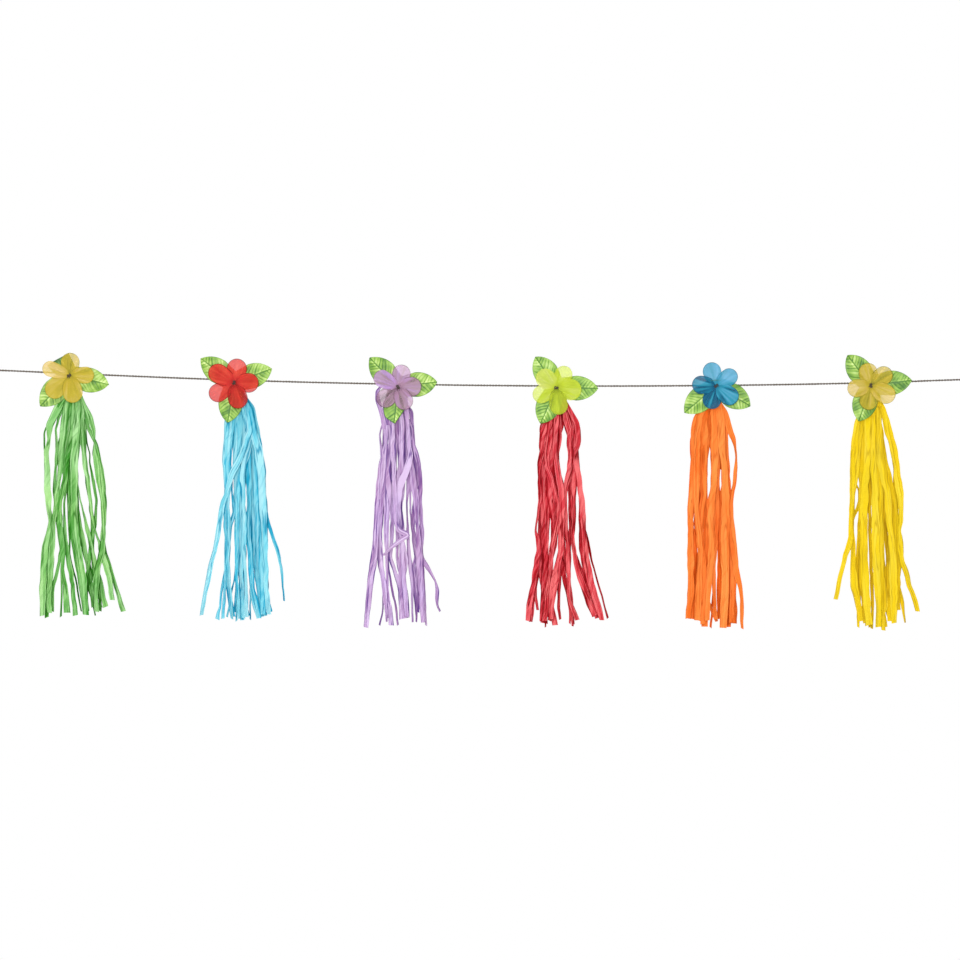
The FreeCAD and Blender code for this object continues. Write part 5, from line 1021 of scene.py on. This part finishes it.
# A row is one spray. Each blade: direction, reach, and the direction and distance from the hub of its folds.
LEAVES = [
    [(-13, 45.0, []), (227, 46.3, []), (125, 44.0, [(119, 21.6)])],
    [(144, 45.0, []), (20, 44.5, []), (261, 44.5, [])],
    [(134, 44.5, []), (7, 43.5, []), (264, 45.0, [(325, 20.4), (236, 35.5)])],
    [(124, 41.0, []), (-1, 46.0, []), (246, 43.0, [])],
    [(220, 46.0, []), (-31, 43.5, []), (94, 42.0, [(94, 6.0)])],
    [(128, 42.0, []), (7, 45.0, []), (251, 41.5, [])],
]
leaf_half_width = 13.6
leaf_belly = 0.47
leaf_root_half_width = 10.2
leaf_fold = math.radians(6.0)
leaf_lift = math.radians(5.0)
leaf_place = -5.9
leaf_cloth = 0.25
vein_pitch = 4.2
vein_slant = 0.55
vein_curve = 0.028
vein_width = 0.45
vein_depth = 0.3
pillow_height = 0.3
# How much darker each blade is than its cloth, because it lies turned or in the flower's shade.
leaf_shades = [[0, 0, -0.4], [0, 0, -0.12], [-0.1, -0.05, -0.15],
               [0, -0.08, -0.08], [0, -0.1, 0], [-0.08, -0.12, -0.1]]


def leaf_half(reach, r):
    """Half width at a distance r: straight from the root to the belly, then an arc to the point."""
    belly = leaf_belly * reach
    arc_r = ((reach - belly) ** 2 + leaf_half_width ** 2) / (2 * leaf_half_width)
    arc = np.sqrt(np.clip(arc_r ** 2 - (r - belly) ** 2, 0, None)) - arc_r + leaf_half_width
    root = leaf_root_half_width + (leaf_half_width - leaf_root_half_width) * r / belly
    return np.where(r < belly, root, np.clip(arc, 0, None))


def spun(points, direction):
    """Points of a blade along +X turned to its direction round the tie."""
    c, s = math.cos(math.radians(direction)), math.sin(math.radians(direction))
    x, y, z = points[..., 0], points[..., 1], points[..., 2]
    return np.stack([x * c - z * s, y, x * s + z * c], axis=-1)


def tucked(blade, fold_direction, distance):
    """Grid points beyond a fold are laid back on to its line, so the blade ends straight there; and how far
    inside that line each point lies."""
    c, s = math.cos(math.radians(fold_direction)), math.sin(math.radians(fold_direction))
    inside = distance - blade[..., 0] * c - blade[..., 2] * s
    over = np.clip(-inside, 0, None)
    return blade - over[..., None] * np.array([c, 0.0, s]), np.clip(inside, 0, None)


def leaf_sheet(direction, reach, folds, rng):
    """Blade: height over its plane is lift r - fold |z|, less the veins, each pressed in as
    exp(-(d / width)^2) and curved towards the point, plus a pillow between them and one slow wave."""
    s, t = np.meshgrid(np.linspace(0, 1, 110), np.linspace(-1, 1, 61), indexing="ij")
    r = reach * (1 - (1 - s) ** 1.5)
    half = leaf_half(reach, r)
    z = t * half
    aside = np.abs(z)
    to_vein = (r - vein_slant * aside - vein_curve * aside ** 2) / vein_pitch + 0.35 * (z > 0)
    to_vein = to_vein + 0.12 * np.sin(r * 0.45 + rng.uniform(0, 6))
    from_side = np.abs(to_vein - np.round(to_vein)) * vein_pitch * 0.8
    right_half = (z > 0).astype(int)
    strength = rng.uniform(0.15, 1.1, (2, 40))[right_half, np.round(to_vein).astype(int) + 12]
    # Painted sheen: each cell between two veins a little lighter or darker, less so right by the veins.
    cell_sheen = rng.uniform(-0.16, 0.16, (2, 40))[right_half, np.floor(to_vein).astype(int) + 12]
    cell_sheen = cell_sheen * (1 - strength * np.exp(-(from_side / 0.8) ** 2))
    side_vein = strength * np.exp(-(from_side / vein_width) ** 2) * (1 - eased(0.7, 0.97, np.abs(t)))
    midrib = np.exp(-(z / vein_width) ** 2)
    pressed = np.maximum(side_vein * 0.7, midrib)
    # A pale streak of painted sheen beside the midrib.
    streak = np.exp(-((z - 1.5) / 0.7) ** 2) * eased(0.1, 0.3, s) * (1 - eased(0.7, 0.9, s))
    pillow = np.sin(np.pi * (to_vein - np.floor(to_vein))) * (1 - np.abs(t)) * eased(0, 0.2, np.abs(t))
    wave = rng.uniform(0.5, 1.1) * np.sin(s * 2 * np.pi * rng.uniform(0.8, 1.4) + rng.uniform(0, 6)) * t ** 2
    y = -r * math.tan(leaf_lift) + aside * math.tan(leaf_fold) + wave
    y = y + vein_depth * pressed - pillow_height * pillow
    # Painted sheen: broad bands where the satin catches the light.
    painted_sheen = 0.16 * np.sin(r * 0.21 + z * 0.33 + rng.uniform(0, 6))
    painted_sheen = painted_sheen + 0.08 * np.sin(r * 0.5 - z * 0.6 + rng.uniform(0, 6))
    edge = eased(0.93, 1.0, np.abs(t))
    # Tone: painted sheen on the bands, cells, pillows and midrib streak, painted shade in the pressed veins,
    # and darker along the rim.
    tone = 0.5 + painted_sheen + cell_sheen + 0.12 * pillow - 0.8 * pressed + 0.3 * streak - 0.45 * edge
    blade = spun(np.stack([r, y, z], axis=-1), direction)
    for fold_direction, distance in folds:
        blade, inside = tucked(blade, fold_direction, distance)
        # Painted shade along each fold line.
        tone = tone - 0.5 * (1 - eased(0.2, 1.2, inside))
    return blade, tone, np.stack([s, t * 0.5 + 0.5], axis=-1)


satin, tree, shader = plain_material("leaf_satin", 0.5)
shader.inputs["Sheen Weight"].default_value = 0.15
uv, place = coordinates(tree)
weave = noise_of(tree, stretched(tree, uv, (160.0, 30.0, 1.0)), 1.0)
cloud = noise_of(tree, place, 60.0)
tone = scaled(tree, weave, 0.16, painted_tone(tree))
tone = scaled(tree, cloud, 0.5, tone)
tone = arithmetic(tree, "SUBTRACT", tone, 0.33, clamp=True)
satin_colour = colour_ramp(tree, tone, [(0.0, written("3A7010")), (0.35, written("76A430")),
                                        (0.6, written("98BE4E")), (1.0, written("CCE290"))])
tree.links.new(satin_colour, shader.inputs["Base Color"])
bumped(tree, shader, weave, 0.15, 0.0001)

for k, name in enumerate(unit_names):
    rng = np.random.default_rng(60 + k)
    across, up = FLOWERS[k][:2]
    centre = hangs[name] + np.array([across, leaf_place, up]) * mm
    sheets = []
    tones = []
    uvs = []
    for (direction, reach, folds), leaf_shade in zip(LEAVES[k], leaf_shades[k]):
        blade, tone, uv = leaf_sheet(direction, reach, folds, rng)
        sheets.append(thickened(blade * mm + centre, leaf_cloth * mm))
        tones.append(doubled(tone + leaf_shade).ravel())
        uvs.append(doubled(uv).reshape(-1, 2))
        # The blade's points across and up, as seen from the front.
        front = blade[..., [0, 2]]
    spray = finished_piece("satin_" + name, sheets, satin, tone=tones, uvs=uvs)
    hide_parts("leaves_" + name)

# --- Flowers --------------------------------------------------------------------------------------
# Five round petals die cut from organza: sheer, creased from the middle, with a heat-sealed edge.
flower_cloth = 0.12
flower_place = -7.0
petal_lifts = [9.5, 14.0, 19.0, 10.0, 15.0]
petal_cup = 0.9
crease_waves = ((9, 0.34), (17, 0.28), (31, 0.18))
# Each cloth: its name, how solid it is, how strongly its creases are painted with light and shade, how much
# its sealed rim darkens it, and its tones.
organzas = {
    "green": ("ochre_organza", 0.56, 0.4, 0.25, ("8A8A24", "D3BB38", "ECD080")),
    "blue": ("red_organza", 0.66, 0.45, 0.9, ("981410", "D6302A", "F25A44")),
    "lilac": ("mauve_organza", 0.5, 0.7, 0.6, ("805C74", "BC94B0", "CFA4E2")),
    "red": ("lime_organza", 0.5, 0.4, 0.08, ("96A822", "D2E238", "E6EA8C")),
    "orange": ("blue_organza", 0.72, 0.8, 0.5, ("005C80", "2C98B4", "68B4DC")),
    "yellow": ("ochre_organza", 0.56, 0.5, 0.45, ("8A8A24", "D3BB38", "ECD080")),
}


def petal_sheet(direction, reach, radius, lift, pale, creasing, crease_shading, rim_share, rng):
    """Petal: half a circle at its end and half an ellipse back to the middle, leaning forward by its lift,
    with its sides cupped back; creases fan out as sines of the angle from the root."""
    disc = reach - radius
    s, t = np.meshgrid(np.linspace(0, 1, 60), np.linspace(-1, 1, 49), indexing="ij")
    x = reach * (1 - np.cos(np.pi * s)) / 2
    off = np.where(x < disc, (disc - x) / disc, (x - disc) / radius)
    half = radius * np.sqrt(np.clip(1 - off ** 2, 0, None))
    z = t * half
    fan = np.arctan2(z, x + 4)
    crease = 0.0
    for waves, size in crease_waves:
        crease = crease + size * np.sin(waves * fan + rng.uniform(0, 6)) * eased(1, 14, x)
    crease = creasing * crease * (1 - 0.6 * eased(0.6, 1.0, x / reach))
    cup = petal_cup * t ** 2 * eased(4, 20, x)
    droop = rng.uniform(-1.2, 1.4) * eased(0.55, 1, x / reach)
    y = -x * math.tan(math.radians(lift)) - cup + droop + crease
    rim = np.where(x < disc, np.abs(t), np.maximum(np.abs(t), np.hypot(x - disc, z) / radius))
    edge = eased(0.92, 0.97, rim)
    # Painted shade: lighter or darker with the height of its creases, and darker towards the centre; the
    # sealed rim darker.
    centre_shade = 1 - eased(0, 9, x)
    tone = 0.55 + pale + crease_shading * crease - rim_share * edge - 0.3 * centre_shade
    return spun(np.stack([x, y, z], axis=-1), direction), tone, np.stack([x / 30, fan * 3], axis=-1)


def organza(name, alpha, tones):
    """Sheer cloth: colour by its painted tone, with painted shade in its creases and towards the middle and
    its darker sealed edge; a fine open weave, partly see-through.
    """
    material, tree, shader = plain_material(name, 0.55)
    shader.inputs["Alpha"].default_value = alpha
    shader.inputs["Specular IOR Level"].default_value = 0.2
    uv, place = coordinates(tree)
    rays = noise_of(tree, stretched(tree, uv, (1.2, 9.0, 1.0)), 1.0, 3.0, 0.6)
    cloud = noise_of(tree, place, 70.0)
    tone = scaled(tree, rays, 0.4, painted_tone(tree))
    tone = scaled(tree, cloud, 0.4, tone)
    tone = arithmetic(tree, "SUBTRACT", tone, 0.4, clamp=True)
    dark, mid, light = [written(t) for t in tones]
    colour = colour_ramp(tree, tone, [(0.0, dark), (0.5, mid), (1.0, light)])
    tree.links.new(colour, shader.inputs["Base Color"])
    weave = noise_of(tree, stretched(tree, place, (2600.0, 2600.0, 2600.0)), 1.0)
    bumped(tree, shader, scaled(tree, rays, 3.0, weave), 0.3, 0.0002)
    return material


cloths = {}
for k, name in enumerate(unit_names):
    rng = np.random.default_rng(80 + k)
    across, up, petals = FLOWERS[k]
    cloth_name, alpha, crease_shading, rim_share, tones = organzas[name]
    if cloth_name not in cloths:
        cloths[cloth_name] = organza(cloth_name, alpha, tones)
    centre = hangs[name] + np.array([across, flower_place, up]) * mm
    sheets = []
    shades = []
    uvs = []
    for lift, (direction, reach, radius, pale, creasing) in zip(petal_lifts, petals):
        petal, tone, uv = petal_sheet(direction, reach, radius, lift, pale, creasing, crease_shading, rim_share, rng)
        sheets.append(thickened(petal * mm + centre, flower_cloth * mm))
        shades.append(doubled(tone).ravel())
        uvs.append(doubled(uv).reshape(-1, 2))
    flower = finished_piece("organza_" + name, sheets, cloths[cloth_name], tone=shades, uvs=uvs)
    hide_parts("flower_" + name)

# --- Centre knots ---------------------------------------------------------------------------------
# Dark waxed thread goes through flower and leaves into the head and is knotted in front of the flower. Each
# knot is a figure of eight with two short cut ends, on a stem that runs back into the head.
tie_r = 0.52
tie_end_r = 0.32
tie_stem_r = 0.5
tie_points = 90
waxed, tree, shader = plain_material("dark_waxed_thread", 0.5)
place = tree.nodes.new("ShaderNodeTexCoord").outputs["Object"]
lay = noise_of(tree, place, 1200.0)
wax_colour = colour_ramp(tree, lay, [(0.35, written("1E1410")), (0.7, written("46342A"))])
tree.links.new(wax_colour, shader.inputs["Base Color"])
bumped(tree, shader, lay, 0.4, 0.0001)
threads = []
rng = np.random.default_rng(5)
for k, name in enumerate(unit_names):
    across, up = FLOWERS[k][:2]
    centre = hangs[name] + np.array([across, 0, up]) * mm
    t = np.linspace(0, 2 * np.pi, tie_points)
    loop = np.stack([1.9 * np.sin(t), flower_place - 1.1 - 0.6 * np.cos(t), 1.15 * np.sin(2 * t)], axis=1)
    threads.append(tube_rings(spun(loop, 50 * k + 20) * mm + centre, tie_r * mm, 8, depth_way))
    for side in (-1, 1):
        way = -90 + side * rng.uniform(18, 45) + rng.uniform(-20, 20)
        run = np.linspace(0, rng.uniform(2.6, 4.2), tie_points)
        end = np.stack([run, flower_place - 1.4 - 0.25 * run, side * 0.35 * np.sin(run)], axis=1)
        threads.append(tube_rings(spun(end, way) * mm + centre, tie_end_r * mm, 8, depth_way))
    stem = np.stack([0 * t, np.linspace(flower_place - 0.6, -3.1, tie_points), 0 * t], axis=1)
    threads.append(tube_rings(stem * mm + centre, tie_stem_r * mm, 8, np.array([[1.0, 0.0, 0.0]])))
knots = finished_piece("tie_knots", threads, waxed)
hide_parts("centre_knots")
